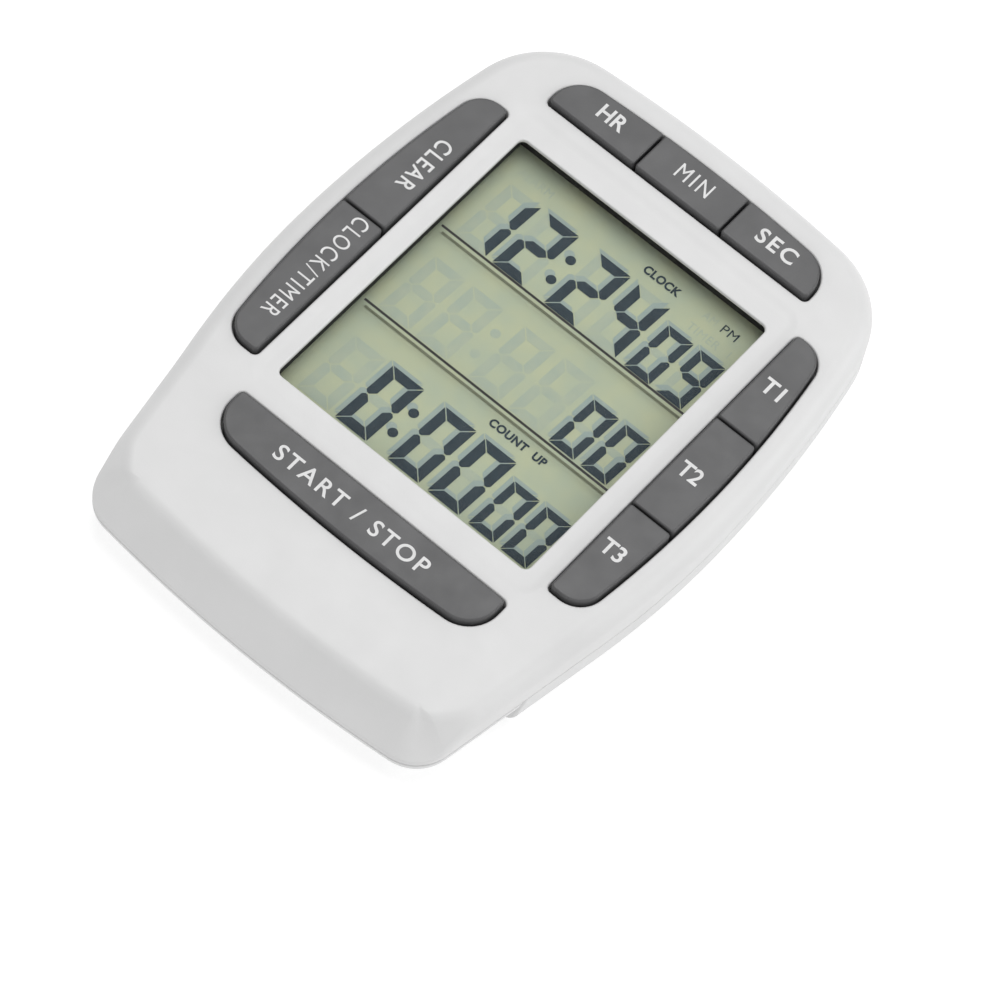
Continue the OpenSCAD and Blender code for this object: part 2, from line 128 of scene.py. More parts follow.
# %% Helpers for colours and nodes
def colour(code):
    """A hex colour such as 8a8f94 as linear red, green, blue and full alpha."""
    def linear(value):
        return value / 12.92 if value <= 0.04045 else ((value + 0.055) / 1.055) ** 2.4
    return [linear(int(code[i:i + 2], 16) / 255) for i in (0, 2, 4)] + [1.0]


def add(tree, kind, inputs=None, **settings):
    """Adds a node. inputs maps a socket's name or number to a value, or to the socket that feeds it."""
    node = tree.nodes.new(kind)
    for name, value in settings.items():
        setattr(node, name, value)
    for name, value in (inputs or {}).items():
        if isinstance(value, bpy.types.NodeSocket):
            tree.links.new(value, node.inputs[name])
        else:
            node.inputs[name].default_value = value
    return node


def per_mm(size):
    """The scale of a texture whose features are about size millimetres across."""
    return 1 / (size * MM)


def material(name):
    """An empty material and its node tree."""
    made = bpy.data.materials.new(name)
    made.use_nodes = True
    made.node_tree.nodes.clear()
    return made, made.node_tree


def finish(tree, shader):
    add(tree, "ShaderNodeOutputMaterial", {"Surface": shader.outputs[0]})


def mottled(tree, size, first, second):
    """Two close colours that drift into each other over about size millimetres."""
    place = add(tree, "ShaderNodeTexCoord")
    noise = add(tree, "ShaderNodeTexNoise", {
        "Vector": place.outputs["Object"], "Scale": per_mm(size), "Detail": 3.0, "Roughness": 0.55})
    ramp = add(tree, "ShaderNodeValToRGB", {"Fac": noise.outputs["Fac"]})
    ramp.color_ramp.elements[0].position = 0.35
    ramp.color_ramp.elements[0].color = colour(first)
    ramp.color_ramp.elements[1].position = 0.65
    ramp.color_ramp.elements[1].color = colour(second)
    return ramp.outputs["Color"]


def grain(tree, size, depth_mm):
    """A fine moulded texture: bumps about size millimetres across and depth_mm high."""
    place = add(tree, "ShaderNodeTexCoord")
    noise = add(tree, "ShaderNodeTexNoise", {
        "Vector": place.outputs["Object"], "Scale": per_mm(size), "Detail": 2.0})
    bump = add(tree, "ShaderNodeBump", {
        "Height": noise.outputs["Fac"], "Distance": depth_mm * MM, "Strength": 1.0})
    return bump.outputs["Normal"]


def uneven(tree, size, low, high):
    """A roughness that drifts between two values over about size millimetres."""
    place = add(tree, "ShaderNodeTexCoord")
    noise = add(tree, "ShaderNodeTexNoise", {
        "Vector": place.outputs["Object"], "Scale": per_mm(size), "Detail": 4.0})
    spread = add(tree, "ShaderNodeMapRange", {
        "Value": noise.outputs["Fac"], "From Min": 0.3, "From Max": 0.7, "To Min": low, "To Max": high})
    return spread.outputs["Result"]


# %% [markdown]
# ## Moulded plastics
# The shells are ABS (acrylonitrile butadiene styrene), injection moulded in a tool with a fine
# spark-eroded skin. That skin breaks up the highlight, so the white looks soft and even. The keys are
# the same plastic in grey. The real grain is about 0.1 mm, too fine to show at this distance, so it
# is drawn two to three times as coarse.

# %% White and grey ABS
ABS_IOR = 1.53


def moulded_plastic(name, light, dark, grain_size, roughness, depth_mm):
    made, tree = material(name)
    shader = add(tree, "ShaderNodeBsdfPrincipled", {
        "Base Color": mottled(tree, 9, dark, light),
        "Roughness": uneven(tree, 3, *roughness),
        "Normal": grain(tree, grain_size, depth_mm),
        "IOR": ABS_IOR})
    finish(tree, shader)
    return made


WHITE_ABS = moulded_plastic("satin white ABS", "d6d6d6", "d3d3d3", 0.3, (0.42, 0.52), 0.006)
GREY_ABS = moulded_plastic("satin grey ABS", "515152", "4c4c4d", 0.28, (0.40, 0.50), 0.008)
BLACK_ABS = moulded_plastic("matt black ABS", "0b0a0b", "080708", 0.3, (0.75, 0.90), 0.006)
print("made", WHITE_ABS.name, GREY_ABS.name, BLACK_ABS.name)

# %% [markdown]
# ## Printing and the display
# The legends are pad printed: a silicone pad lays down a film of white ink a few hundredths of a
# millimetre thick. The display is a reflective liquid crystal cell, and its ground is a satin
# metallised film behind a polariser, which gives the grey-green colour. Segments that are on look
# dark blue-grey, and those that are off can still be seen as faint ghosts.

# %% Ink, segments, film, painted shade and acrylic


def ink_film_or_painted_shade(name, first, second, roughness, size=2.0, ior=1.45):
    """Ink, film or painted shade. A layer that is glued between glass hardly shines, so it gets a low ior."""
    made, tree = material(name)
    shader = add(tree, "ShaderNodeBsdfPrincipled", {
        "Base Color": mottled(tree, size, first, second),
        "Roughness": uneven(tree, 1.0, roughness - 0.05, roughness + 0.05),
        "IOR": ior})
    finish(tree, shader)
    return made


def clear(name, tint, alpha, ior, roughness):
    """A clear sheet. Most of the light goes straight through, and what is left is its gloss."""
    made, tree = material(name)
    shader = add(tree, "ShaderNodeBsdfPrincipled", {
        "Base Color": mottled(tree, 20, tint, tint),
        "Roughness": uneven(tree, 8, roughness * 0.8, roughness * 1.2),
        "IOR": ior, "Alpha": alpha})
    finish(tree, shader)
    return made


WHITE_INK = ink_film_or_painted_shade("white printing ink", "dcdcdc", "d4d4d4", 0.5)
RULE_INK = ink_film_or_painted_shade("black printing ink", "0c0d0b", "121310", 0.5)
GROUND = ink_film_or_painted_shade("metallised display film", "b1bca3", "bac1a0", 0.5, size=5.0, ior=1.15)
SEGMENT_ON = ink_film_or_painted_shade("segments that are on", "1f2f3a", "263640", 0.6, ior=1.15)
SEGMENT_OFF = ink_film_or_painted_shade("segments that are off", "a7b4a3", "afb9a3", 0.5, ior=1.15)
# painted shade: the lit segments' shadow on the film, drawn as a paler blue-grey copy of them
SEGMENT_SHADE = ink_film_or_painted_shade("shade under the segments", "97a8a3", "9eada4", 0.5, ior=1.15)
# painted shade: the shadow of each rule on the film, drawn as a dark olive strip
RULE_SHADE = ink_film_or_painted_shade("shade under the rules", "6e735c", "787c66", 0.5, ior=1.15)
ACRYLIC = clear("polished acrylic", "e9efec", 0.012, 1.49, 0.06)
CELL_GLASS = clear("display cell glass", "dfe6da", 0.008, 1.52, 0.08)
print("made", GROUND.name, SEGMENT_ON.name, ACRYLIC.name)

# %% [markdown]
# ## Metals, board and rubber
# Inside are the usual materials: nickel-plated and zinc-plated steel, a brass buzzer disc with a
# silvered ceramic on it, a circuit board under green solder mask, black potting resin and silicone.
# They are hidden while the case is shut, but the cell shows when the battery cover slides.

# %% Everything else


def plated(name, first, second, roughness, size=1.5):
    made, tree = material(name)
    shader = add(tree, "ShaderNodeBsdfPrincipled", {
        "Base Color": mottled(tree, size, first, second),
        "Metallic": 1.0,
        "Roughness": uneven(tree, size, *roughness),
        "Normal": grain(tree, 0.2, 0.003)})
    finish(tree, shader)
    return made


def plain(name, first, second, roughness, size=1.0):
    made, tree = material(name)
    shader = add(tree, "ShaderNodeBsdfPrincipled", {
        "Base Color": mottled(tree, size, first, second),
        "Roughness": uneven(tree, size, *roughness),
        "Normal": grain(tree, 0.25, 0.004)})
    finish(tree, shader)
    return made


NICKEL = plated("nickel-plated steel", "c9c8c3", "b9b8b4", (0.22, 0.34))
ZINC = plated("zinc-plated screw steel", "a9abae", "8f9297", (0.28, 0.42))
MAGNET = plated("nickel-plated magnet", "8d8c8b", "7b7b7c", (0.25, 0.40), size=3.0)
BRASS = plated("rolled brass", "c8a961", "b8964d", (0.25, 0.38))
CERAMIC = plain("silvered ceramic", "dad6cb", "cfcabd", (0.35, 0.5))
SOLDER_MASK = plain("green solder mask", "2d6a3a", "27602f", (0.25, 0.4), size=2.0)
CHIP_CERAMIC = plain("chip ceramic", "a98c63", "8f744e", (0.4, 0.6))
RESIN = plain("black potting resin", "141414", "1d1c1b", (0.15, 0.3))
SILICONE = plain("moulded silicone", "d5d6d1", "cdcec9", (0.5, 0.65))
ZEBRA = plain("carbon-layered silicone", "3a3a3b", "2b2b2c", (0.6, 0.75), size=0.2)

CARRIED_OVER = {
    "stand_pin": NICKEL, "zebra_strip": ZEBRA, "main_board": SOLDER_MASK, "chip_blob": RESIN,
    "crystal_can": NICKEL, "board_parts": CHIP_CERAMIC, "keypad_mats": SILICONE,
    "buzzer_plate": BRASS, "buzzer_ceramic": CERAMIC, "battery_cell": NICKEL,
    "contact_plus": NICKEL, "contact_minus": NICKEL, "board_screws": ZINC,
}
for node, finish_of in CARRIED_OVER.items():
    mesh = frame["nodes"][node].data
    mesh.materials.clear()
    mesh.materials.append(finish_of)
print("CAD nodes that keep their shape:", len(CARRIED_OVER))

# %% [markdown]
# ## Outlines made of arcs
# Every outline on this timer is convex and made of arcs, as a draughtsman would set it out: long
# bows for the sides, tighter arcs at the corners. An arc is a centre and a radius, and a straight
# edge is an arc so large that it looks straight. One function walks round the arcs and rounds each
# join. The inset moves the whole outline inwards, so that outlines at different insets have the same
# number of points and can be joined into smooth bands.

# %% The outline function
FLAT = 20000.0


def edge(direction, distance):
    """A straight edge: the direction it faces in degrees, and its distance from the origin."""
    turn = math.radians(direction)
    return ((distance - FLAT) * math.cos(turn), (distance - FLAT) * math.sin(turn), FLAT)


def mirrored(arc):
    return (-arc[0], arc[1], arc[2])


def grown(arcs, by):
    return [(arc[0], arc[1], arc[2] + more) for arc, more in zip(arcs, by)]


def corner_centre(a, b, radius):
    """The centre of the corner that rounds the join of arc a and the next arc b."""
    ra, rb = a[2] - radius, b[2] - radius
    dx, dy = b[0] - a[0], b[1] - a[1]
    d = math.hypot(dx, dy)
    along = (ra * ra - rb * rb + d * d) / (2 * d)
    off = math.sqrt(max(0.0, ra * ra - along * along))
    return (a[0] + (dx * along - dy * off) / d, a[1] + (dy * along + dx * off) / d)


def swept(centre, radius, start, end, n):
    span = (end - start) % (2 * math.pi)
    return [(centre[0] + radius * math.cos(start + span * k / n),
             centre[1] + radius * math.sin(start + span * k / n)) for k in range(n)]


def bearing(a, b):
    return math.atan2(b[1] - a[1], b[0] - a[0])


def outline(arcs, corners, inset=0.0, edge_n=14, corner_n=12):
    """The points of a closed outline, anticlockwise. A corner of 0 is where two arcs are tangent."""
    n = len(arcs)
    a = [(x, y, r - inset) for x, y, r in arcs]
    radii = [max(c - inset, 0.15) if c > 0 else 0.0 for c in corners]
    centres = [corner_centre(a[i], a[(i + 1) % n], radii[i]) for i in range(n)]
    points = []
    for i in range(n):
        start, end = bearing(a[i], centres[i - 1]), bearing(a[i], centres[i])
        points += swept(a[i], a[i][2], start, end, edge_n)
        if radii[i] > 0:
            after = bearing(a[(i + 1) % n], centres[i])
            points += swept(centres[i], radii[i], end, after, corner_n)
    return points


def circle(x, y, radius, n=40):
    return [(x + radius * math.cos(2 * math.pi * k / n),
             y + radius * math.sin(2 * math.pi * k / n)) for k in range(n)]


def rectangle(x0, x1, y0, y1, corner, inset=0.0, edge_n=6):
    return outline([edge(0, x1), edge(90, y1), edge(180, -x0), edge(270, -y0)],
                   [corner] * 4, inset, edge_n, 6)


# %% [markdown]
# ## The outlines of this timer
# The overall width, length and thickness come from the frame. The radii and the places of the
# openings are design values, in millimetres, that repeat the engineering model's.

# %% Case, crease and openings
case_low, case_high = box_mm("front_case")
HALF_W = case_high.x
TOP_Y, CHIN_Y = case_high.y, -case_low.y
FACE_Z = case_high.z
PARTING_Z = case_low.z
KEY_TOP = box_mm("key_min")[1].z
CHIN_DROP = 0.45
SURROUND_DROP = 0.2
CEILING_Z = FACE_Z - 1.6

WAIST_Y = 3.4
UPPER_R, LOWER_R, END_R = 165.0, 120.0, 200.0
TAPER = math.asin(20 / LOWER_R)
SHOULDER_R, CHIN_CORNER_R = 12.4, 5.6
upper = (HALF_W - UPPER_R, WAIST_Y, UPPER_R)
lower = (HALF_W - LOWER_R, WAIST_Y, LOWER_R)
taper = (lower[0] + (LOWER_R - FLAT) * math.cos(TAPER), WAIST_Y - (LOWER_R - FLAT) * math.sin(TAPER), FLAT)
top_arc = (0, TOP_Y - END_R, END_R)
chin_arc = (0, END_R - CHIN_Y, END_R)
CASE = [taper, lower, upper, top_arc, mirrored(upper), mirrored(lower), mirrored(taper), chin_arc]
CASE_CORNERS = [0, 0, SHOULDER_R, SHOULDER_R, 0, 0, CHIN_CORNER_R, CHIN_CORNER_R]

CREASE_Y, CREASE_R, CREASE_CORNER, CREASE_INSET = -30.5, 225.0, 8.2, 3.3
CREASE = grown(CASE[:7], [-CREASE_INSET] * 7) + [(0, CREASE_Y + CREASE_R, CREASE_R)]
CREASE_CORNERS = [0, 0, SHOULDER_R - CREASE_INSET, SHOULDER_R - CREASE_INSET, 0, 0,
                  CREASE_CORNER, CREASE_CORNER]

WINDOW_X, WINDOW_Y0, WINDOW_Y1 = 19.4, -17.25, 28.05
WINDOW_MID = (WINDOW_Y0 + WINDOW_Y1) / 2
SURROUND = [edge(0, 21.6), edge(90, WINDOW_MID + 26.2), edge(180, 21.6), edge(270, 25.2 - WINDOW_MID)]

row_arc = (0, 40.4 - 220, 220)
bulge = (29.4 - 150, 4.4, 150)
start_arc = (0, -29.15 + 225, 225)
SIDE_TOP, SIDE_BOTTOM, SIDE_INNER = 29.6, -17.5, 22.5
SLOTS = {
    "row": ([edge(0, 20.6), row_arc, edge(180, 20.6), edge(270, -33.7)], [4.6, 4.6, 0.8, 0.8]),
    "right": ([bulge, edge(90, SIDE_TOP), edge(180, -SIDE_INNER), edge(270, -SIDE_BOTTOM)],
              [3.7, 0.8, 0.8, 3.7]),
    "left": ([edge(0, -SIDE_INNER), edge(90, SIDE_TOP), mirrored(bulge), edge(270, -SIDE_BOTTOM)],
             [0.8, 3.7, 3.7, 0.8]),
    "start": ([edge(0, 20.7), edge(90, -21.9), edge(180, 20.7), start_arc], [0.8, 0.8, 4.6, 4.6]),
}
print("case, mm:", round(2 * HALF_W, 2), "x", round(TOP_Y + CHIN_Y, 2), "face at", round(FACE_Z, 2))

# %% [markdown]
# ## A shell built ring by ring
# A moulded shell is easiest to control as a stack of rings: outlines at chosen heights, joined by
# bands of faces. Flat areas with openings in them are filled by a constrained Delaunay
# triangulation, which keeps every ring as an edge. A narrow guard ring beside each rounded edge
# keeps the smooth shading from bleeding into the flat.


# %% The ring builder
def smooth_step(t):
    t = min(1.0, max(0.0, t))
    return t * t * (3 - 2 * t)


def outside(point, polygon):
    """How far a point is outside a convex polygon: negative inside."""
    worst = -1e9
    for (ax, ay), (bx, by) in zip(polygon, polygon[1:] + polygon[:1]):
        ex, ey = bx - ax, by - ay
        length = math.hypot(ex, ey)
        if length > 1e-9:
            worst = max(worst, ((point[0] - ax) * ey - (point[1] - ay) * ex) / length)
    return worst


class Shell:
    """Points and faces of one piece, in millimetres."""

    def __init__(self):
        self.points = []
        self.faces = []

    def ring(self, outline_points, z):
        """Adds a ring. z is one height, a list of heights, or a function of x and y."""
        first = len(self.points)
        for k, (x, y) in enumerate(outline_points):
            height = z(x, y) if callable(z) else z[k] if isinstance(z, list) else z
            self.points.append((x, y, height))
        return list(range(first, len(self.points)))

    def band(self, a, b):
        """Faces from ring a to ring b. They face outwards where b is above a or inside it."""
        n = len(a)
        for k in range(n):
            m = (k + 1) % n
            self.faces.append((a[k], a[m], b[m], b[k]))

    def bands(self, rings):
        for a, b in zip(rings, rings[1:]):
            self.band(a, b)

    def fill(self, outer, holes=(), lines=(), z=None, up=True):
        """Fills the area inside a ring and outside the holes, keeping the rings and lines as edges."""
        indices, edges = [], []
        for ring in [outer, *holes]:
            base = len(indices)
            indices += ring
            edges += [(base + k, base + (k + 1) % len(ring)) for k in range(len(ring))]
        flat = [Vector(self.points[i][:2]) for i in indices]
        for line in lines:
            base = len(flat)
            flat += [Vector(p) for p in line]
            edges += [(base + k, base + k + 1) for k in range(len(line) - 1)]
        made, _, faces, origin, _, _ = delaunay_2d_cdt(flat, edges, [], 0, 1e-7)
        outer_polygon = [tuple(self.points[i][:2]) for i in outer]
        hole_polygons = [[tuple(self.points[i][:2]) for i in hole] for hole in holes]
        index = []
        for k, point in enumerate(made):
            known = [o for o in origin[k] if o < len(indices)]
            if known:
                index.append(indices[known[0]])
            else:
                self.points.append((point.x, point.y, z(point.x, point.y) if callable(z) else z))
                index.append(len(self.points) - 1)
        for face in faces:
            middle = sum((made[k] for k in face), Vector((0, 0))) / len(face)
            if not inside(middle, outer_polygon) or any(inside(middle, h) for h in hole_polygons):
                continue
            corners = [index[k] for k in face]
            self.faces.append(tuple(corners if up else reversed(corners)))

    def solid(self, other_points, other_faces):
        """Joins another closed solid into this piece."""
        first = len(self.points)
        self.points += other_points
        self.faces += [tuple(first + k for k in face) for face in other_faces]


def inside(point, polygon):
    """Whether a point is inside any polygon, by counting crossings."""
    x, y = point
    found = False
    for (ax, ay), (bx, by) in zip(polygon, polygon[1:] + polygon[:1]):
        if (ay > y) != (by > y) and x < ax + (bx - ax) * (y - ay) / (by - ay):
            found = not found
    return found


CRISP = math.radians(32)


def piece(name, points, faces, finish_with, body):
    """Makes one piece from points in millimetres, and lets it ride on its body."""
    mesh = mesh_of(name, points, [], faces)
    mesh.validate()
    mesh.materials.append(finish_with)
    mesh.shade_smooth()
    mesh.set_sharp_from_angle(angle=CRISP)
    made = linked(name, mesh)
    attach(made, body)
    print(name, "faces:", len(mesh.polygons))
    return made


# %% [markdown]
# ## The front shell
# The face is nearly flat, with three soft steps in it. A shallow frame is pressed in around the
# window. A crease runs under the lowest key and fades out along both sides, where the face drops
# about half a millimetre to the chin. At the chin itself the face bends quickly and falls away at about
# 40 degrees. Elsewhere the edge is a plain quarter round. The height of every point follows from one
# function of where it is.

# %% Heights of the front face
EDGE_R = 2.5
EDGE_STEPS = 18
CREASE_SOFT = 0.34
SURROUND_SOFT = 0.8
CREASE_FADE_Y, CREASE_FADE = -18.3, 6
CHIN_BLEND = (-35.0, -43.2)
CHIN_FOOT, CHIN_SLOPE_END, CHIN_REACH = 0.55, 4.6, 5.7
crease_line = outline(CREASE, CREASE_CORNERS, 0, 40, 30)
surround_line = outline(SURROUND, [2, 2, 2, 2], 0, 4, 10)


def lowered(x, y):
    """How far the crease has lowered the face at a point."""
    if y > CREASE_FADE_Y:
        return 0.0
    step = smooth_step((outside((x, y), crease_line) + CREASE_SOFT) / (2 * CREASE_SOFT))
    return CHIN_DROP * step * smooth_step((CREASE_FADE_Y - y) / CREASE_FADE)


def face_height(x, y):
    if abs(x) < 25 and -23 < y < 34:
        inward = -outside((x, y), surround_line)
        return FACE_Z - SURROUND_DROP * smooth_step((inward + SURROUND_SOFT) / (2 * SURROUND_SOFT))
    return FACE_Z - lowered(x, y)


def rounded_path(corners, radii, steps):
    """A path of straight runs with rounded corners, as evenly numbered points."""
    points = [corners[0]]
    for i in range(1, len(corners) - 1):
        before, here, after = Vector(corners[i - 1]), Vector(corners[i]), Vector(corners[i + 1])
        to_before, to_after = (before - here).normalized(), (after - here).normalized()
        half = to_before.angle(to_after) / 2
        reach = radii[i - 1] / math.tan(half)
        for k in range(steps + 1):
            t = k / steps
            start, end = here + to_before * reach, here + to_after * reach
            points.append(tuple((1 - t) ** 2 * start + 2 * t * (1 - t) * here + t * t * end))
    return points + [corners[-1]]


chin_path = rounded_path(
    [(0, PARTING_Z + 0.1), (0, PARTING_Z + CHIN_FOOT), (CHIN_SLOPE_END, FACE_Z), (CHIN_REACH, FACE_Z)],
    [1.1, 2.6], EDGE_STEPS // 2 - 1)
chin_path[-1] = (CHIN_REACH, FACE_Z)
side_path = [(EDGE_R * (1 - math.cos(a)), FACE_Z - EDGE_R * (1 - math.sin(a)))
             for a in (math.pi / 2 * k / (len(chin_path) - 1) for k in range(len(chin_path)))]


def edge_rings(shell, n_edge, n_corner):
    """The rounded rim of the front shell, from its side wall up to the face."""
    base = outline(CASE, CASE_CORNERS, 0, n_edge, n_corner)
    side_in = outline(CASE, CASE_CORNERS, EDGE_R, n_edge, n_corner)
    chin_in = outline(CASE, CASE_CORNERS, CHIN_REACH, n_edge, n_corner)
    blend = [smooth_step((CHIN_BLEND[0] - y) / (CHIN_BLEND[0] - CHIN_BLEND[1])) for _, y in base]
    rings = []
    for (side_s, side_z), (chin_s, chin_z) in zip(side_path, chin_path):
        places, heights = [], []
        for b, s_in, c_in, t in zip(base, side_in, chin_in, blend):
            fs, fc = side_s / EDGE_R, chin_s / CHIN_REACH
            x = (1 - t) * (b[0] + (s_in[0] - b[0]) * fs) + t * (b[0] + (c_in[0] - b[0]) * fc)
            y = (1 - t) * (b[1] + (s_in[1] - b[1]) * fs) + t * (b[1] + (c_in[1] - b[1]) * fc)
            places.append((x, y))
            rest = (1 - t) * side_z + t * chin_z
            heights.append(rest - lowered(x, y) * smooth_step((rest - PARTING_Z) / 2))
        rings.append(shell.ring(places, heights))
    return base, rings


# %% [markdown]
# The openings get a small rounded lip, because a moulding never has a knife edge, and then a plain
# wall down to the inner face. The inner side is filled the same way, so that the shell is closed.

# %% Build the front shell
EDGE_N, CORNER_N = 30, 22
LIP_R = 0.22
LIP_STEPS = 3
GUARD = 0.03


def lip(shell, arcs, corners, wall_z):
    """An opening's rounded lip and wall. Gives the ring on the face and the one at wall_z."""
    rings = []
    for k in range(LIP_STEPS + 1):
        a = math.pi / 2 * k / LIP_STEPS
        out = LIP_R * (1 - math.cos(a))
        drop = LIP_R * (1 - math.sin(a))
        ring = outline(arcs, corners, -out, 16, 12)
        rings.append(shell.ring(ring, [face_height(x, y) - drop for x, y in ring]))
    foot = shell.ring(outline(arcs, corners, 0, 16, 12), wall_z)
    guard = shell.ring(outline(arcs, corners, -LIP_R - GUARD, 16, 12), face_height)
    shell.bands([guard] + rings[::-1] + [foot])
    return guard, foot


def clipped(line, polygon, margin):
    """The runs of a closed line below the side keys that lie inside a polygon by at least a margin."""
    keep = [outside(p, polygon) < -margin and p[1] < SIDE_BOTTOM - 0.8 for p in line]
    if all(keep):
        return [line + line[:1]]
    start = keep.index(False)
    runs, run = [], []
    for k in range(len(line)):
        i = (start + k) % len(line)
        if keep[i]:
            run.append(line[i])
        elif run:
            runs.append(run)
            run = []
    return [r for r in runs + [run] if len(r) > 1]


front = Shell()
case_base, rim = edge_rings(front, EDGE_N, CORNER_N)
face_edge = [front.points[i][:2] for i in rim[-1]]
foot_insets = [(0.42, 0.05), (0.1, 0.07), (0.0, 0.16)]
feet = [front.ring(outline(CASE, CASE_CORNERS, s, EDGE_N, CORNER_N), PARTING_Z + z) for s, z in foot_insets]
front.bands(feet + rim)

openings = [lip(front, arcs, corners, CEILING_Z) for arcs, corners in SLOTS.values()]
WINDOW = [edge(0, WINDOW_X), edge(90, WINDOW_Y1), edge(180, WINDOW_X), edge(270, -WINDOW_Y0)]
LIP_Z = FACE_Z - 0.65
window_guard, window_foot = lip(front, WINDOW, [0.9] * 4, LIP_Z)
ledge_arcs = grown(WINDOW, [1.2] * 4)
ledge = front.ring(outline(ledge_arcs, [1.0] * 4, 0, 16, 12), LIP_Z)
ledge_foot = front.ring(outline(ledge_arcs, [1.0] * 4, 0, 16, 12), CEILING_Z)
front.bands([window_foot, ledge, ledge_foot])

face_lines = []
CREASE_LINES = 8
for k in range(CREASE_LINES + 1):
    inset = CREASE_SOFT * (1 - 2 * k / CREASE_LINES) * 1.05
    face_lines += clipped(outline(CREASE, CREASE_CORNERS, inset, 40, 30), face_edge, 0.02)
SURROUND_LINES = 6
for k in range(1, SURROUND_LINES + 1):
    inset = SURROUND_SOFT * (2 * k / SURROUND_LINES - 1) * 1.04
    ring = outline(SURROUND, [2] * 4, inset, 10, 10)
    face_lines.append(ring + ring[:1])
front.fill(rim[-1], [o[0] for o in openings] + [window_guard], face_lines, face_height)

# inner side: the cavity wall, a sloping part behind the chin, and the ceiling
WALL = 1.8
CAVITY_REACH = 7.4
cavity = outline(CASE, CASE_CORNERS, WALL, EDGE_N, CORNER_N)
cavity_chin = outline(CASE, CASE_CORNERS, CAVITY_REACH, EDGE_N, CORNER_N)
cavity_side = outline(CASE, CASE_CORNERS, WALL + 0.5, EDGE_N, CORNER_N)
to_chin = [smooth_step((CHIN_BLEND[0] - y) / (CHIN_BLEND[0] - CHIN_BLEND[1])) for _, y in case_base]
cavity_rise = [(1 - t) * (CEILING_Z - 1.4) + t * (PARTING_Z + 0.3) for t in to_chin]
ceiling_edge = [((1 - t) * s[0] + t * c[0], (1 - t) * s[1] + t * c[1])
                for s, c, t in zip(cavity_side, cavity_chin, to_chin)]


def ceiling_height(x, y):
    return CEILING_Z - 0.45 * smooth_step((-30.2 - y) / 1.2)


cavity_low = front.ring(cavity, PARTING_Z + 0.05)
cavity_high = front.ring(cavity, cavity_rise)
ceiling = front.ring(ceiling_edge, ceiling_height)
front.bands([ceiling, cavity_high, cavity_low, feet[0]])
front.fill(ceiling, [o[1] for o in openings] + [ledge_foot], (), ceiling_height, up=False)
front_case = piece("front_shell", front.points, front.faces, WHITE_ABS, "root")
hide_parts("front_case")

# %% [markdown]
# ## The rear shell
# The rear shell is a shallow tray. Its side wall meets the front shell at the parting line, and its
# bottom edge has a small round. It stops short of the chin at a sloping joint, where the battery
# cover begins. The bottom carries the pocket for the stand, two magnet seats, four screw wells and
# five sound holes. Each of these is a hole in the fill, with its own walls and its own floor.

# %% Rear shell: outer skin
REAR_FLOOR = 1.5
REAR_EDGE_R = 1.2
JOINT_Y, JOINT_SLOPE = -27.6, 0.47
stand_low, stand_high = box_mm("stand")
pin_low, pin_high = box_mm("stand_pin")
magnet_low, magnet_high = box_mm("magnets")
cell_low, cell_high = box_mm("battery_cell")
plate_low, plate_high = box_mm("buzzer_plate")
cover_low, cover_high = box_mm("battery_cover")
HINGE_Y = (pin_low.y + pin_high.y) / 2
HINGE_Z = (pin_low.z + pin_high.z) / 2
SIDE_CORNERS = [0, 0, SHOULDER_R, SHOULDER_R, 0, 0, 0.5, 0.5]


def joint_y(z):
    """Where the sloping joint between the rear shell and the battery cover is at a height."""
    return JOINT_Y - JOINT_SLOPE * (PARTING_Z - z)


def rear_outline(inset, bottom_y):
    """The case outline above a straight cut at bottom_y, which the inset doesn't move."""
    arcs = grown(CASE[:7], [-inset] * 7) + [edge(270, -bottom_y)]
    corners = [max(c - inset, 0.4) if c > 0 else 0 for c in SIDE_CORNERS]
    return outline(arcs, corners, 0, 24, 20)


rear = Shell()
rear_rings = []
for inset, height in [(0.42, -0.05), (0.1, -0.07), (0.0, -0.16)]:
    z = PARTING_Z + height
    rear_rings.append(rear.ring(rear_outline(inset, joint_y(z)), z))
for k in range(9):
    a = math.pi / 2 * k / 8
    z = REAR_EDGE_R * (1 - math.sin(a))
    rear_rings.append(rear.ring(rear_outline(REAR_EDGE_R * (1 - math.cos(a)), joint_y(z)), z))
guard_ring = rear.ring(rear_outline(REAR_EDGE_R + 0.05, joint_y(0) + 0.05), 0.0)
rear.bands([guard_ring] + rear_rings[::-1])

# %% Rear shell: pocket, seats, wells and sound holes
POCKET_TOP = stand_high.z - 0.4
POCKET_X = stand_high.x + 0.5
POCKET_Y0, POCKET_Y1 = stand_low.y - 0.5, HINGE_Y + 2.2
NOTCH_R = 4.5
NOTCH_TOP = 1.2
HOUSING_X = pin_high.x + 0.6


def pocket_outline(inset):
    """The stand's pocket with a thumb notch at its free end, anticlockwise."""
    r = NOTCH_R - inset
    y0, y1, x = POCKET_Y0 + inset, POCKET_Y1 - inset, POCKET_X - inset
    notch = swept((0, y0), r, math.pi, 2 * math.pi, 24) + [(r, y0)]
    return [(-x, y1), (-x, y0)] + notch + [(x, y0), (x, y1)]


def well(shell, rings):
    """Bands that go into the bottom face: rings of (outline, height), from the face inwards."""
    made = [shell.ring(points, z) for points, z in rings]
    shell.bands(made[::-1])
    return made[0], made[-1]


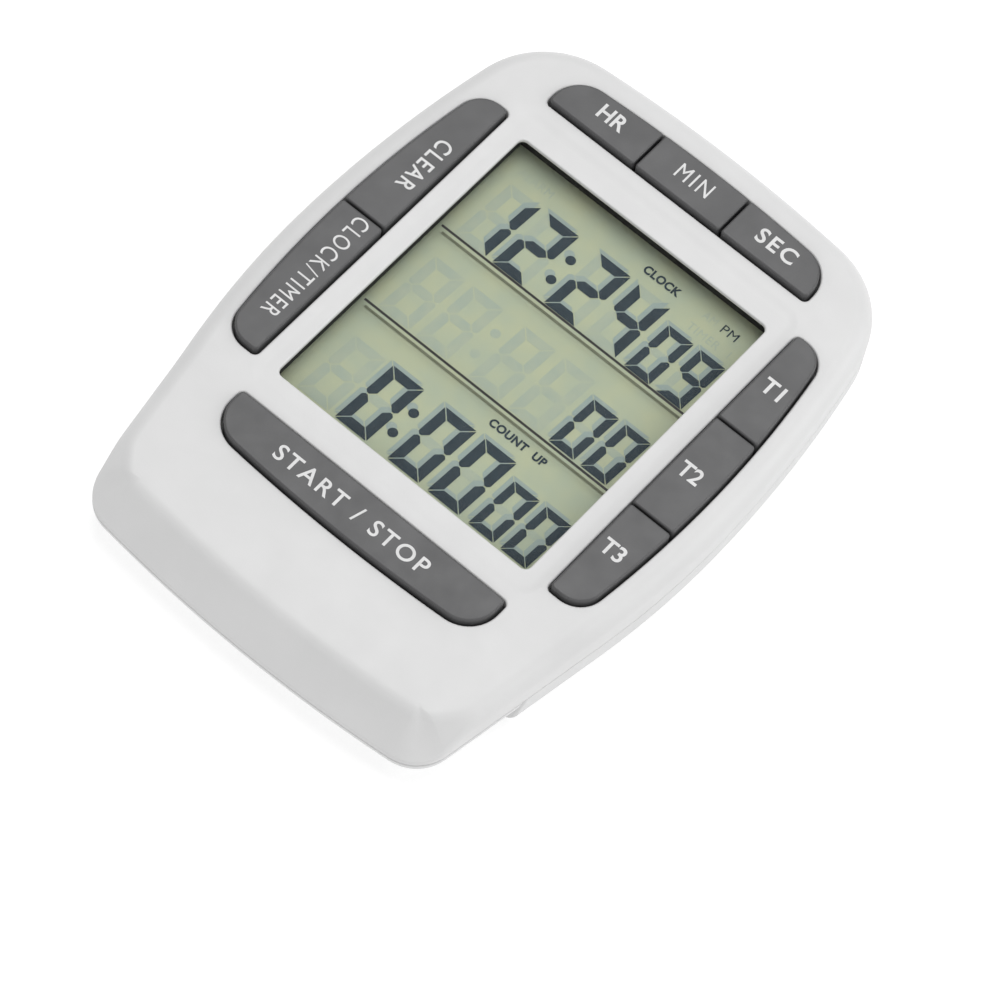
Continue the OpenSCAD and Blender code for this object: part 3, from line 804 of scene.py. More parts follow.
bottom_holes, floor_holes = [], []
pocket_rim, pocket_roof = well(rear, [(pocket_outline(-0.2), 0.0), (pocket_outline(0), 0.2),
                                      (pocket_outline(0), NOTCH_TOP)])
deep_rim, deep_roof = well(rear, [
    (rectangle(-POCKET_X + 0.03, POCKET_X - 0.03, POCKET_Y0 + 0.03, POCKET_Y1 - 0.03, 0.2), z)
    for z in (NOTCH_TOP, POCKET_TOP)])
rear.fill(pocket_roof, [deep_rim], (), NOTCH_TOP, up=False)
hinge_rim, hinge_roof = well(rear, [
    (rectangle(-POCKET_X + 0.05, POCKET_X - 0.05, HINGE_Y - 1.9, POCKET_Y1 - 0.05, 0.2), z)
    for z in (POCKET_TOP, HINGE_Z + 1.35)])
rear.fill(deep_roof, [hinge_rim], (), POCKET_TOP, up=False)
rear.fill(hinge_roof, (), (), HINGE_Z + 1.35, up=False)
bottom_holes.append(pocket_rim)

housing_rings = [
    (rectangle(-HOUSING_X, HOUSING_X, POCKET_Y0 - NOTCH_R - 1, HINGE_Y + 3.6, 0.8), z)
    for z in (REAR_FLOOR, POCKET_TOP + 0.8)]
knuckle_rings = [
    (rectangle(-HOUSING_X + 0.1, HOUSING_X - 0.1, HINGE_Y - 3, HINGE_Y + 3.5, 0.6), z)
    for z in (POCKET_TOP + 0.8, HINGE_Z + 2.05)]


def raised(shell, rings):
    """Bands that rise from the inner floor: rings of (outline, height), from the floor upwards."""
    made = [shell.ring(points, z) for points, z in rings]
    shell.bands(made)
    return made[0], made[-1]


housing_foot, housing_top = raised(rear, housing_rings)
knuckle_foot, knuckle_top = raised(rear, knuckle_rings)
rear.fill(housing_top, [knuckle_foot], (), POCKET_TOP + 0.8)
rear.fill(knuckle_top, (), (), HINGE_Z + 2.05)
floor_holes.append(housing_foot)

MAGNET_R = (magnet_high.y - magnet_low.y) / 2
MAGNET_X = magnet_high.x - MAGNET_R
MAGNET_Y = (magnet_low.y + magnet_high.y) / 2
for side in (-1, 1):
    at = (side * MAGNET_X, MAGNET_Y)
    rim_ring, roof = well(rear, [(circle(*at, MAGNET_R + 0.3, 64), 0.0), (circle(*at, MAGNET_R + 0.1, 64), 0.2),
                                 (circle(*at, MAGNET_R + 0.1, 64), 1.8)])
    rear.fill(roof, (), (), 1.8, up=False)
    bottom_holes.append(rim_ring)
    foot, top = raised(rear, [(circle(*at, MAGNET_R + 0.9, 64), z) for z in (REAR_FLOOR, 2.6)])
    rear.fill(top, (), (), 2.6)
    floor_holes.append(foot)

# the top two screws stand 0.28 mm further in than in the engineering model, clear of the rounded edge
SCREW_PLACES = [(25.8, 35.0), (-25.8, 35.0), (25.0, -24.2), (-25.0, -24.2)]
WELL_TOP = PARTING_Z - 0.15
for x, y in SCREW_PLACES:
    mouth, roof = well(rear, [(circle(x, y, r), z) for r, z in [
        (2.02, 0.0), (1.95, 0.07), (1.95, 1.9), (1.1, 1.9), (1.1, WELL_TOP)]])
    rear.fill(roof, (), (), WELL_TOP, up=False)
    bottom_holes.append(mouth)
    boss = [rear.ring(circle(x, y, r), z) for r, z in [
        (2.45, REAR_FLOOR - 0.1), (2.45, PARTING_Z - 0.05), (1.12, PARTING_Z - 0.05), (1.12, 1.92),
        (1.97, 1.92), (1.97, REAR_FLOOR - 0.1)]]
    rear.bands(boss + boss[:1])

BUZZER = ((plate_low.x + plate_high.x) / 2, (plate_low.y + plate_high.y) / 2)
BUZZER_R = (plate_high.x - plate_low.x) / 2
seat = [rear.ring(circle(*BUZZER, r, 56), z) for r, z in [
    (BUZZER_R - 0.8, REAR_FLOOR), (BUZZER_R - 0.8, 2.2), (BUZZER_R + 0.4, 2.2), (BUZZER_R + 0.4, REAR_FLOOR)]]
rear.bands(seat[::-1])
floor_holes.append(seat[-1])
SOUND_HOLES = 5
sound_feet = []
for k in range(SOUND_HOLES):
    a = 2 * math.pi * k / SOUND_HOLES
    at = (BUZZER[0] + 2.2 * math.cos(a), BUZZER[1] + 2.2 * math.sin(a))
    made = [rear.ring(circle(*at, r, 20), z) for r, z in [(0.75, 0.0), (0.6, 0.15), (0.6, REAR_FLOOR)]]
    rear.bands(made[::-1])
    bottom_holes.append(made[0])
    sound_feet.append(made[-1])
rear.fill(seat[0], sound_feet, (), REAR_FLOOR)

rear.fill(guard_ring, bottom_holes, (), 0.0, up=False)
TRAY_Y = -26.4
inner_high = rear.ring(rear_outline(1.7, TRAY_Y), PARTING_Z - 0.05)
inner_low = rear.ring(rear_outline(1.7, TRAY_Y), REAR_FLOOR)
rear.bands([rear_rings[0], inner_high, inner_low])
rear.fill(inner_low, floor_holes, (), REAR_FLOOR)

# %% [markdown]
# Behind the sloping joint the rear shell goes on as a thin tray inside the chin, which holds the
# button cell in a round well. The cover hides it until it slides away.

# %% Rear shell: battery tray
TRAY_Z0 = cover_high.z - 1.1
CELL = ((cell_low.x + cell_high.x) / 2, (cell_low.y + cell_high.y) / 2)
WELL_R = (cell_high.x - cell_low.x) / 2 + 0.25


def tray_outline():
    inner_chin = grown([CASE[7]], [-2.1])
    arcs = grown(CASE[:1], [-2.1]) + [edge(90, TRAY_Y)] + grown([CASE[6]], [-2.1]) + inner_chin
    return outline(arcs, [0.3, 0.3, 4.4, 4.4], 0, 14, 12)


tray_low = rear.ring(tray_outline(), TRAY_Z0)
tray_high = rear.ring(tray_outline(), cover_high.z)
rear.band(tray_low, tray_high)
well_rings = [rear.ring(circle(*CELL, r, 64), z) for r, z in [
    (WELL_R + 0.15, TRAY_Z0), (WELL_R, TRAY_Z0 + 0.15), (WELL_R, 5.6),
    (WELL_R + 0.7, 5.6), (WELL_R + 0.7, cover_high.z)]]
rear.bands(well_rings[::-1])
rear.fill(tray_low, [well_rings[0]], (), TRAY_Z0, up=False)
rear.fill(tray_high, [well_rings[-1]], (), cover_high.z)
rear_case = piece("rear_shell", rear.points, rear.faces, WHITE_ABS, "root")
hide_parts("rear_case")

# %% [markdown]
# ## The battery cover
# The cover closes the chin from below. It is a shallow dish that follows the chin's outline, with a
# tongue that hooks into the rear shell. Ribs across the middle give a thumb something to push on.
# They repeat at one pitch, so Geometry Nodes make them: a line of points, with one rounded bar on
# each point.

# %% Cover dish and tongue
COVER_GAP = 0.15
COVER_FLOOR = 2.5
CUT_HALF_W, CUT_REACH = 27.2, 4.0
CUT_TOP, CUT_SQUASH = 2.3, 0.15


def cover_outline(s_side, s_chin, top_y):
    """The chin's outline below a straight cut, with one inset at the sides and one at the end."""
    arcs = grown(CASE[:1], [-s_side]) + [edge(90, top_y)]
    arcs += grown([CASE[6], CASE[7]], [-s_side, -s_chin])
    corner = max(CHIN_CORNER_R - (s_side + s_chin) / 2, 0.8)
    return outline(arcs, [0.5, 0.5, corner, corner], 0, 36, 18)


def open_end(z):
    """A ring's height, pressed down to the floor of the dish along the straight cut.

    The cover is open towards the rear shell, so that it can slide off past the cell and its tray."""
    def height(x, y):
        at_cut = abs(x) < CUT_HALF_W and y > JOINT_Y - CUT_REACH
        return CUT_TOP + (z - CUT_TOP) * CUT_SQUASH if at_cut and z > CUT_TOP else z
    return height


cover = Shell()
cover_rings = []
for inset, z in [(0.45, cover_high.z), (0.12, cover_high.z - 0.02), (0.02, cover_high.z - 0.12)]:
    cover_rings.append(cover.ring(cover_outline(inset, inset, joint_y(z) - COVER_GAP), open_end(z)))
for k in range(9):
    a = math.pi / 2 * k / 8
    s = 1 - math.cos(a)
    z = cover_low.z + 0.05 + 1.7 * (1 - math.sin(a))
    around = cover_outline(0.02 + 1.9 * s, 0.02 + 2.6 * s, joint_y(z) - COVER_GAP)
    cover_rings.append(cover.ring(around, open_end(z)))
under = cover.ring(cover_outline(2.1, 2.8, joint_y(cover_low.z) - COVER_GAP - 0.12), cover_low.z + 0.05)
cover.bands([under] + cover_rings[::-1])
cover.fill(under, (), (), cover_low.z + 0.05, up=False)
dish_high = cover.ring(cover_outline(1.8, 1.8, joint_y(cover_high.z) - 1.4), open_end(cover_high.z))
dish_low = cover.ring(cover_outline(2.2, 3.4, joint_y(cover_high.z) - 1.4), COVER_FLOOR)
cover.bands([cover_rings[0], dish_high, dish_low])
cover.fill(dish_low, (), (), COVER_FLOOR)

TONGUE_X, TONGUE_Y0, TONGUE_Y1 = 6.0, JOINT_Y - 2, JOINT_Y + 3
tongue = Shell()
tongue_rings = [tongue.ring(rectangle(-TONGUE_X + s, TONGUE_X - s, TONGUE_Y0, TONGUE_Y1 - s, 0.5), z)
                for s, z in [(0.15, 1.85), (0, 2.0), (0, COVER_FLOOR - 0.15), (0.15, COVER_FLOOR)]]
tongue.bands(tongue_rings)
tongue.fill(tongue_rings[0], (), (), 1.85, up=False)
tongue.fill(tongue_rings[-1], (), (), COVER_FLOOR)
cover.solid(tongue.points, tongue.faces)

# %% [markdown]
# A small helper starts a node tree with one named input for each size. A second one runs the tree on
# an object, turns the result into a plain mesh in place, and removes the modifier.

# %% Helpers for Geometry Nodes


def tree_with_inputs(name, inputs):
    """A Geometry Nodes tree with a geometry input, the named inputs and a geometry output."""
    tree = bpy.data.node_groups.new(name, "GeometryNodeTree")
    tree.interface.new_socket("Geometry", in_out="INPUT", socket_type="NodeSocketGeometry")
    for label, kind in inputs:
        tree.interface.new_socket(label, in_out="INPUT", socket_type=kind)
    tree.interface.new_socket("Geometry", in_out="OUTPUT", socket_type="NodeSocketGeometry")
    return tree, add(tree, "NodeGroupInput").outputs


def end_tree(tree, geometry, finish_with):
    """Every tree ends in real geometry with a material on it."""
    real = add(tree, "GeometryNodeRealizeInstances", {"Geometry": geometry})
    dressed = add(tree, "GeometryNodeSetMaterial", {"Geometry": real.outputs[0], "Material": finish_with})
    add(tree, "NodeGroupOutput", {"Geometry": dressed.outputs[0]})


def with_tree(made, tree, values):
    """Puts a tree on an object and sets its named inputs."""
    modifier = made.modifiers.new(tree.name, "NODES")
    modifier.node_group = tree
    for socket in tree.interface.items_tree:
        if socket.item_type == "SOCKET" and socket.in_out == "INPUT" and socket.name in values:
            modifier[socket.identifier] = values[socket.name]


def made_plain(made):
    """Swaps an object's mesh for the one its modifiers give, and removes them."""
    mesh = evaluated_mesh(made)
    made.modifiers.clear()
    made.data = mesh
    return mesh


def run_tree(tree, name, values, points=()):
    """Runs a tree on a mesh of bare points and gives back the plain mesh it makes."""
    made = linked(name, mesh_of(name, points, [], []))
    with_tree(made, tree, values)
    mesh = made_plain(made)
    mesh.shade_smooth()
    mesh.set_sharp_from_angle(angle=CRISP)
    print(name, "faces:", len(mesh.polygons))
    return made


# %% Grip ribs on the cover
rib_tree, inlet = tree_with_inputs("grip ribs", [
    ("Ribs", "NodeSocketInt"), ("Pitch", "NodeSocketFloat"), ("Length", "NodeSocketFloat"),
    ("Radius", "NodeSocketFloat"), ("First rib", "NodeSocketVector")])
pitch = add(rib_tree, "ShaderNodeCombineXYZ", {"Y": inlet["Pitch"]})
rib_line = add(rib_tree, "GeometryNodeMeshLine", {
    "Count": inlet["Ribs"], "Start Location": inlet["First rib"], "Offset": pitch.outputs[0]})
rib_end = add(rib_tree, "ShaderNodeCombineXYZ", {"X": inlet["Length"]})
half = add(rib_tree, "ShaderNodeVectorMath", {0: rib_end.outputs[0], 1: (0.5, 0.5, 0.5)}, operation="MULTIPLY")
minus = add(rib_tree, "ShaderNodeVectorMath", {0: half.outputs[0], 1: (-1, -1, -1)}, operation="MULTIPLY")
rib_curve = add(rib_tree, "GeometryNodeCurvePrimitiveLine", {"Start": minus.outputs[0], "End": half.outputs[0]})
rib_section = add(rib_tree, "GeometryNodeCurvePrimitiveCircle", {"Resolution": 16, "Radius": inlet["Radius"]})
rib_bar = add(rib_tree, "GeometryNodeCurveToMesh", {
    "Curve": rib_curve.outputs[0], "Profile Curve": rib_section.outputs[0], "Fill Caps": True})
ribs = add(rib_tree, "GeometryNodeInstanceOnPoints", {
    "Points": rib_line.outputs[0], "Instance": rib_bar.outputs[0]})
end_tree(rib_tree, ribs.outputs[0], WHITE_ABS)

RIBS, RIB_PITCH, RIB_LENGTH, RIB_R = 5, 2.0, 14.0, 0.3
grip = run_tree(rib_tree, "battery_cover_grip", {
    "Ribs": RIBS, "Pitch": RIB_PITCH * MM, "Length": RIB_LENGTH * MM, "Radius": RIB_R * MM,
    "First rib": (0, -40.6 * MM, (cover_low.z + 0.1) * MM)})
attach(grip, "battery_cover")
battery_cover = piece("battery_door", cover.points, cover.faces, WHITE_ABS, "battery_cover")
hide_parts("battery_cover")

# %% [markdown]
# ## The keys
# Each key is a flat cap with a soft edge, and a flange underneath that keeps it in the case. All nine
# follow one rule, so one tree makes them: it fills the outline, pulls it up to the key's height, and
# puts a wider flange below. A Bevel modifier then rounds every edge, as the mould does.

# %% The key tree
key_tree, inlet = tree_with_inputs("key cap", [
    ("Flange outline", "NodeSocketObject"), ("Foot", "NodeSocketFloat"), ("Flange", "NodeSocketFloat"),
    ("Top", "NodeSocketFloat"), ("Stem radius", "NodeSocketFloat"), ("Stem foot", "NodeSocketFloat"),
    ("Stem place", "NodeSocketVector")])


def pulled_up(tree, loop, low, high):
    """Nodes that turn a closed loop of edges into a solid between two heights."""
    curve = add(tree, "GeometryNodeMeshToCurve", {"Mesh": loop})
    face = add(tree, "GeometryNodeFillCurve", {"Curve": curve.outputs[0]}, mode="NGONS")
    offset = add(tree, "ShaderNodeCombineXYZ", {"Z": low})
    placed = add(tree, "GeometryNodeSetPosition", {"Geometry": face.outputs[0], "Offset": offset.outputs[0]})
    rise = add(tree, "ShaderNodeMath", {0: high, 1: low}, operation="SUBTRACT")
    upward = add(tree, "ShaderNodeCombineXYZ", {"Z": 1.0})
    walls = add(tree, "GeometryNodeExtrudeMesh", {
        "Mesh": placed.outputs[0], "Offset": upward.outputs[0], "Offset Scale": rise.outputs[0],
        "Individual": False})
    turned = add(tree, "GeometryNodeFlipFaces", {"Mesh": placed.outputs[0]})
    both = add(tree, "GeometryNodeJoinGeometry")
    tree.links.new(walls.outputs[0], both.inputs[0])
    tree.links.new(turned.outputs[0], both.inputs[0])
    return add(tree, "GeometryNodeMergeByDistance", {"Geometry": both.outputs[0], "Distance": 0.001 * MM})


cap = pulled_up(key_tree, inlet["Geometry"], inlet["Flange"], inlet["Top"])
other = add(key_tree, "GeometryNodeObjectInfo", {"Object": inlet["Flange outline"]})
flange = pulled_up(key_tree, other.outputs["Geometry"], inlet["Foot"], inlet["Flange"])
stem_h = add(key_tree, "ShaderNodeMath", {0: inlet["Foot"], 1: inlet["Stem foot"]}, operation="SUBTRACT")
stem = add(key_tree, "GeometryNodeMeshCylinder", {
    "Vertices": 24, "Radius": inlet["Stem radius"], "Depth": stem_h.outputs[0]})
middle = add(key_tree, "ShaderNodeMath", {0: stem_h.outputs[0], 1: 0.5, 2: inlet["Stem foot"]},
             operation="MULTIPLY_ADD")
lift = add(key_tree, "ShaderNodeCombineXYZ", {"Z": middle.outputs[0]})
place = add(key_tree, "ShaderNodeVectorMath", {0: inlet["Stem place"], 1: lift.outputs[0]}, operation="ADD")
stem_placed = add(key_tree, "GeometryNodeTransform", {
    "Geometry": stem.outputs[0], "Translation": place.outputs[0]})
whole = add(key_tree, "GeometryNodeJoinGeometry")
for part in (cap, flange, stem_placed):
    key_tree.links.new(part.outputs[0], whole.inputs[0])
end_tree(key_tree, whole.outputs[0], GREY_ABS)

# %% Where each key is
KEY_GAP, KEY_SPLIT = -0.3, -0.12
FLANGE_REACH = 0.95
ROW_SPLIT = 6.75
RIGHT_SPLITS = (13.9, -2.1)
LEFT_SPLIT = 6.0


def row_key(right, left, at_right, at_left, corners, x):
    return ([edge(0, right), row_arc, edge(180, -left), edge(270, -33.7)],
            [KEY_GAP if at_right else KEY_SPLIT, KEY_GAP, KEY_GAP if at_left else KEY_SPLIT, KEY_GAP],
            corners, (x, 37.0))


def side_key(side, top, bottom, at_top, at_bottom, corners, y):
    """A key in the right (1) or left (-1) opening. Its edges run round from the right."""
    ends = (KEY_GAP if at_top else KEY_SPLIT, KEY_GAP if at_bottom else KEY_SPLIT)
    if side > 0:
        arcs = [bulge, edge(90, top), edge(180, -SIDE_INNER), edge(270, -bottom)]
    else:
        arcs = [edge(0, -SIDE_INNER), edge(90, top), mirrored(bulge), edge(270, -bottom)]
    return arcs, [KEY_GAP, ends[0], KEY_GAP, ends[1]], corners, (side * 25.6, y)


KEYS = {
    "hr": row_key(-ROW_SPLIT, -20.6, False, True, [0.4, 4.3, 0.6, 0.4], -13.5),
    "min": row_key(ROW_SPLIT, -ROW_SPLIT, False, False, [0.4] * 4, 0.0),
    "sec": row_key(20.6, ROW_SPLIT, True, False, [4.3, 0.4, 0.4, 0.6], 13.5),
    "t1": side_key(1, SIDE_TOP, RIGHT_SPLITS[0], True, False, [3.4, 0.6, 0.4, 0.4], 21.5),
    "t2": side_key(1, RIGHT_SPLITS[0], RIGHT_SPLITS[1], False, False, [0.4] * 4, 5.9),
    "t3": side_key(1, RIGHT_SPLITS[1], SIDE_BOTTOM, False, True, [0.4, 0.4, 0.6, 3.4], -9.5),
    "clear": side_key(-1, SIDE_TOP, LEFT_SPLIT, True, False, [0.6, 3.4, 0.4, 0.4], 17.5),
    "clock_timer": side_key(-1, LEFT_SPLIT, SIDE_BOTTOM, False, True, [0.4, 0.4, 3.4, 0.6], -6.0),
    "start_stop": (SLOTS["start"][0], [KEY_GAP] * 4, [0.6, 0.6, 4.3, 4.3], (0.0, -23.6)),
}
INK_T = 0.02
KEY_EDGE_R = 0.38


def loop_object(name, points):
    n = len(points)
    edges = [(k, (k + 1) % n) for k in range(n)]
    return linked(name, mesh_of(name, [(x, y, 0) for x, y in points], edges, []))


def make_key(name, arcs, by, corners, stem_place):
    """One key: its cap outline and its flange outline go through the tree, then the Bevel rounds it."""
    key_low, key_high = box_mm("key_" + name)
    lips = [KEY_GAP + FLANGE_REACH if b == KEY_GAP else b for b in by]
    flange_loop = loop_object("flange", outline(grown(arcs, lips), corners, 0, 24, 14))
    made = loop_object("cap_" + name, outline(grown(arcs, by), corners, 0, 24, 14))
    values = {"Flange outline": flange_loop, "Foot": (CEILING_Z - 0.7) * MM, "Flange": (CEILING_Z - 0.1) * MM,
              "Top": (key_high.z - INK_T) * MM, "Stem radius": 1.2 * MM, "Stem foot": key_low.z * MM,
              "Stem place": (stem_place[0] * MM, stem_place[1] * MM, 0)}
    with_tree(made, key_tree, values)
    rounding = made.modifiers.new("soft edges", "BEVEL")
    rounding.width = KEY_EDGE_R * MM
    rounding.segments = 4
    rounding.limit_method = "ANGLE"
    rounding.angle_limit = math.radians(50)
    rounding.harden_normals = True
    mesh = made_plain(made)
    bpy.data.objects.remove(flange_loop)
    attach(made, "key_" + name)
    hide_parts("key_" + name)
    print("key", name, "faces:", len(mesh.polygons))
    return made


for key_name, (arcs, by, corners, stem_place) in KEYS.items():
    make_key(key_name, arcs, by, corners, stem_place)

# %% [markdown]
# ## The legends
# The words on the keys say what each key does. Each one is a text curve that is measured, scaled to
# the height of its capitals and to its length, given the thickness of the ink, and made a mesh
# before it is put in its place.


# %% Lettering
def lettering(name, words, at, cap_height, width, z, finish_with, body, turn=0.0, weight=0.0,
              thick=INK_T, spacing=1.0):
    """Words centred on a place, with capitals cap_height tall and the whole width wide."""
    text = bpy.data.curves.new(name, "FONT")
    text.body = words
    text.size = 1.0
    text.offset = weight
    text.space_character = spacing
    text.resolution_u = 6
    text.extrude = 0.5
    maker = linked(name, text)
    mesh = evaluated_mesh(maker)
    bpy.data.objects.remove(maker)
    seams = bmesh.new()
    seams.from_mesh(mesh)
    bmesh.ops.remove_doubles(seams, verts=seams.verts, dist=1e-5)
    seams.to_mesh(mesh)
    seams.free()
    xs = [v.co.x for v in mesh.vertices]
    ys = [v.co.y for v in mesh.vertices]
    low, high = Vector((min(xs), min(ys), 0)), Vector((max(xs), max(ys), 0))
    size = high - low
    scale = Matrix.Diagonal((width * MM / size.x, cap_height * MM / size.y, thick * MM, 1))
    centred = Matrix.Translation(-(low + high) / 2)
    placed = Matrix.Translation((at[0] * MM, at[1] * MM, (z + thick / 2) * MM))
    mesh.transform(placed @ Matrix.Rotation(math.radians(turn), 4, "Z") @ scale @ centred)
    mesh.materials.clear()
    mesh.materials.append(finish_with)
    made = linked(name, mesh)
    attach(made, body)
    return made


LEGENDS = {
    "hr": ("HR", (-12.8, 37.3), 3.9, 0), "min": ("MIN", (0.1, 37.35), 5.0, 0),
    "sec": ("SEC", (13.25, 37.1), 5.7, 0), "t1": ("T1", (25.4, 21.3), 2.9, 0),
    "t2": ("T2", (25.4, 5.7), 3.1, 0), "t3": ("T3", (25.3, -8.55), 3.1, 0),
    "clear": ("CLEAR", (-25.05, 16.2), 8.8, -90),
    "clock_timer": ("CLOCK/TIMER", (-25.2, -3.6), 17.8, -90),
    "start_stop": ("START / STOP", (-0.5, -25.5), 23.2, 0),
}
CAP_HEIGHT = 2.25
for key_name, (words, at, width, turn) in LEGENDS.items():
    lettering("legend_" + key_name, words, at, CAP_HEIGHT, width, KEY_TOP - INK_T, WHITE_INK,
              "key_" + key_name, turn,
              weight=0.0 if "M" in words else 0.02 if len(words) < 4 else 0.012,
              spacing=1.0 if len(words) < 3 else 1.22)
print("legends:", len(LEGENDS))

# %% [markdown]
# ## The display
# The display is a stack. At the bottom is the ground, a grey-green film. The segments lie a little
# above it, under glass, and each one throws a soft shade on the film, a little up and to the left.
# That shade is painted: a paler copy of the lit segments, laid on the film.
# A figure is made from seven bars, named a to g, so a figure is just a list of the bars that are on.
# The bars repeat dozens of times, so a tree places them: one point for each bar, which says which
# bar it is and how large.

# %% Bars of a figure
SLANT = math.tan(math.radians(3.0))
FIGURE_W, STROKE, BAR_GAP = 0.487, 0.134, 0.010
BAR_NAMES = "abcdefg"
FIGURES = {"0": "abcdef", "1": "bc", "2": "abdeg", "4": "bcfg", "8": "abcdefg", "9": "abcdfg"}


def bar_points():
    """The outline of each bar in a figure 1 high, before its slant."""
    w, t, g, h = FIGURE_W, STROKE, BAR_GAP, 0.5
    c = 0.25 * t
    a = [(g, 1), (g + t, 1 - t), (w - g - t, 1 - t), (w - g, 1)]
    b = [(w, 1 - g), (w - t, 1 - t - g), (w - t, h + t / 2 + g), (w - t / 2, h + g),
         (w - c, h + g), (w, h + g + c)]
    middle = [(t / 2 + g, h), (t + g, h - t / 2), (w - t - g, h - t / 2), (w - t / 2 - g, h),
              (w - t - g, h + t / 2), (t + g, h + t / 2)]

    def down(points):
        return [(x, 1 - y) for x, y in reversed(points)]

    def across(points):
        return [(w - x, y) for x, y in reversed(points)]
    return {"a": a, "b": b, "c": down(b), "d": down(a), "e": across(down(b)), "f": across(b), "g": middle}


shapes = bpy.data.collections.new("bar shapes")
for bar, corners in bar_points().items():
    mesh = bpy.data.meshes.new("bar_" + bar)
    mesh.from_pydata([(x + SLANT * y, y, 0) for x, y in corners], [], [range(len(corners))])
    shapes.objects.link(bpy.data.objects.new("bar_" + bar, mesh))

bar_tree, inlet = tree_with_inputs("figure bars", [
    ("Shapes", "NodeSocketCollection"), ("Thickness", "NodeSocketFloat"), ("Finish", "NodeSocketMaterial")])
which = add(bar_tree, "GeometryNodeInputNamedAttribute", {"Name": "which"}, data_type="INT")
size = add(bar_tree, "GeometryNodeInputNamedAttribute", {"Name": "height"}, data_type="FLOAT")
bars = add(bar_tree, "GeometryNodeCollectionInfo", {
    "Collection": inlet["Shapes"], "Separate Children": True, "Reset Children": True})
placed = add(bar_tree, "GeometryNodeInstanceOnPoints", {
    "Points": inlet["Geometry"], "Instance": bars.outputs[0], "Pick Instance": True,
    "Instance Index": which.outputs[0], "Scale": size.outputs[0]})
flat_bars = add(bar_tree, "GeometryNodeRealizeInstances", {"Geometry": placed.outputs[0]})
upward = add(bar_tree, "ShaderNodeCombineXYZ", {"Z": 1.0})
thick_bars = add(bar_tree, "GeometryNodeExtrudeMesh", {
    "Mesh": flat_bars.outputs[0], "Offset": upward.outputs[0], "Offset Scale": inlet["Thickness"],
    "Individual": False})
under_bars = add(bar_tree, "GeometryNodeFlipFaces", {"Mesh": flat_bars.outputs[0]})
both = add(bar_tree, "GeometryNodeJoinGeometry")
bar_tree.links.new(thick_bars.outputs[0], both.inputs[0])
bar_tree.links.new(under_bars.outputs[0], both.inputs[0])
real = add(bar_tree, "GeometryNodeMergeByDistance", {"Geometry": both.outputs[0], "Distance": 0.0005 * MM})
real = add(bar_tree, "GeometryNodeRealizeInstances", {"Geometry": real.outputs[0]})
dressed = add(bar_tree, "GeometryNodeSetMaterial", {"Geometry": real.outputs[0], "Material": inlet["Finish"]})
add(bar_tree, "NodeGroupOutput", {"Geometry": dressed.outputs[0]})

# %% [markdown]
# The display has three rows: the clock on top, then two timers. Each row has four large figures, a
# colon and two small figures. The glass holds every bar of every figure, which is why the ones that
# are off show as ghosts.

# %% What the display shows
GLASS_Z = 5.9
GLASS_SHIFT = (-0.36, WINDOW_MID + 0.63)
LARGE, SMALL = 10.1, 8.1
COLUMNS = (-17.3, -11.3, -3.1, 3.15)
SMALL_COLUMNS = (9.5, 14.45)
ROWS = [
    {"foot": 7.6, "large": "1224", "small": "09", "shift": 0.0},
    {"foot": -6.55, "large": "    ", "small": "00", "shift": 0.0},
    {"foot": -21.6, "large": " 000", "small": "00", "shift": 0.25},
]
on, off = [], []
for row in ROWS:
    cells = list(zip(row["large"], COLUMNS, [LARGE] * 4)) + list(zip(row["small"], SMALL_COLUMNS, [SMALL] * 2))
    for figure, x, height in cells:
        lit = FIGURES.get(figure, "")
        for number, bar in enumerate(BAR_NAMES):
            (on if bar in lit else off).append((x + row["shift"], row["foot"], number, height))
print("bars on:", len(on), "bars off:", len(off))


def place_bars(name, rows, dx, dy, z, finish_with, slot):
    """One layer of bars, moved sideways by dx and dy, as a plain mesh at a height."""
    seed = mesh_of(name, [(x + dx + GLASS_SHIFT[0], y + dy + GLASS_SHIFT[1], z) for x, y, _, _ in rows], [], [])
    seed.attributes.new("which", "INT", "POINT").data.foreach_set("value", [r[2] for r in rows])
    seed.attributes.new("height", "FLOAT", "POINT").data.foreach_set("value", [r[3] * MM for r in rows])
    made = linked(name, seed)
    with_tree(made, bar_tree, {"Shapes": shapes, "Thickness": LAYER_T * MM, "Finish": finish_with})
    mesh = made_plain(made)
    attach(made, "root")
    print(name, "faces:", len(mesh.polygons))
    return made


# %% The layers of the display
# the shade layer is painted shade: the lit bars again, moved up and to the left by SHADE_SHIFT, in a paler
# colour
SHADE_SHIFT = (-0.62, 0.52)
LAYER_T = 0.006
GHOST_RISE, SHADE_RISE, LIT_RISE = 0.012, 0.024, 0.040
GROUND_Z = GLASS_Z - 0.06
place_bars("lcd_ghost_bars", off, 0, 0, GROUND_Z + GHOST_RISE, SEGMENT_OFF, "polariser")
place_bars("lcd_shade_bars", on, *SHADE_SHIFT, GROUND_Z + SHADE_RISE, SEGMENT_SHADE, "polariser")
place_bars("lcd_lit_bars", on, 0, 0, GROUND_Z + LIT_RISE, SEGMENT_ON, "polariser")

DOT_R = 0.66
dots = [(-4.5, 14.4), (-4.5, 10.7), (-4.5, -14.8), (-4.6, -18.5)]


def discs(name, places, dx, dy, z, finish_with):
    """Round dots as thin closed discs."""
    shell = Shell()
    for x, y in places:
        at = (x + dx + GLASS_SHIFT[0], y + dy + GLASS_SHIFT[1])
        low_ring = shell.ring(circle(*at, DOT_R, 28), z)
        high_ring = shell.ring(circle(*at, DOT_R, 28), z + LAYER_T)
        shell.band(low_ring, high_ring)
        shell.faces += [tuple(reversed(low_ring)), tuple(high_ring)]
    return piece(name, shell.points, shell.faces, finish_with, "root")


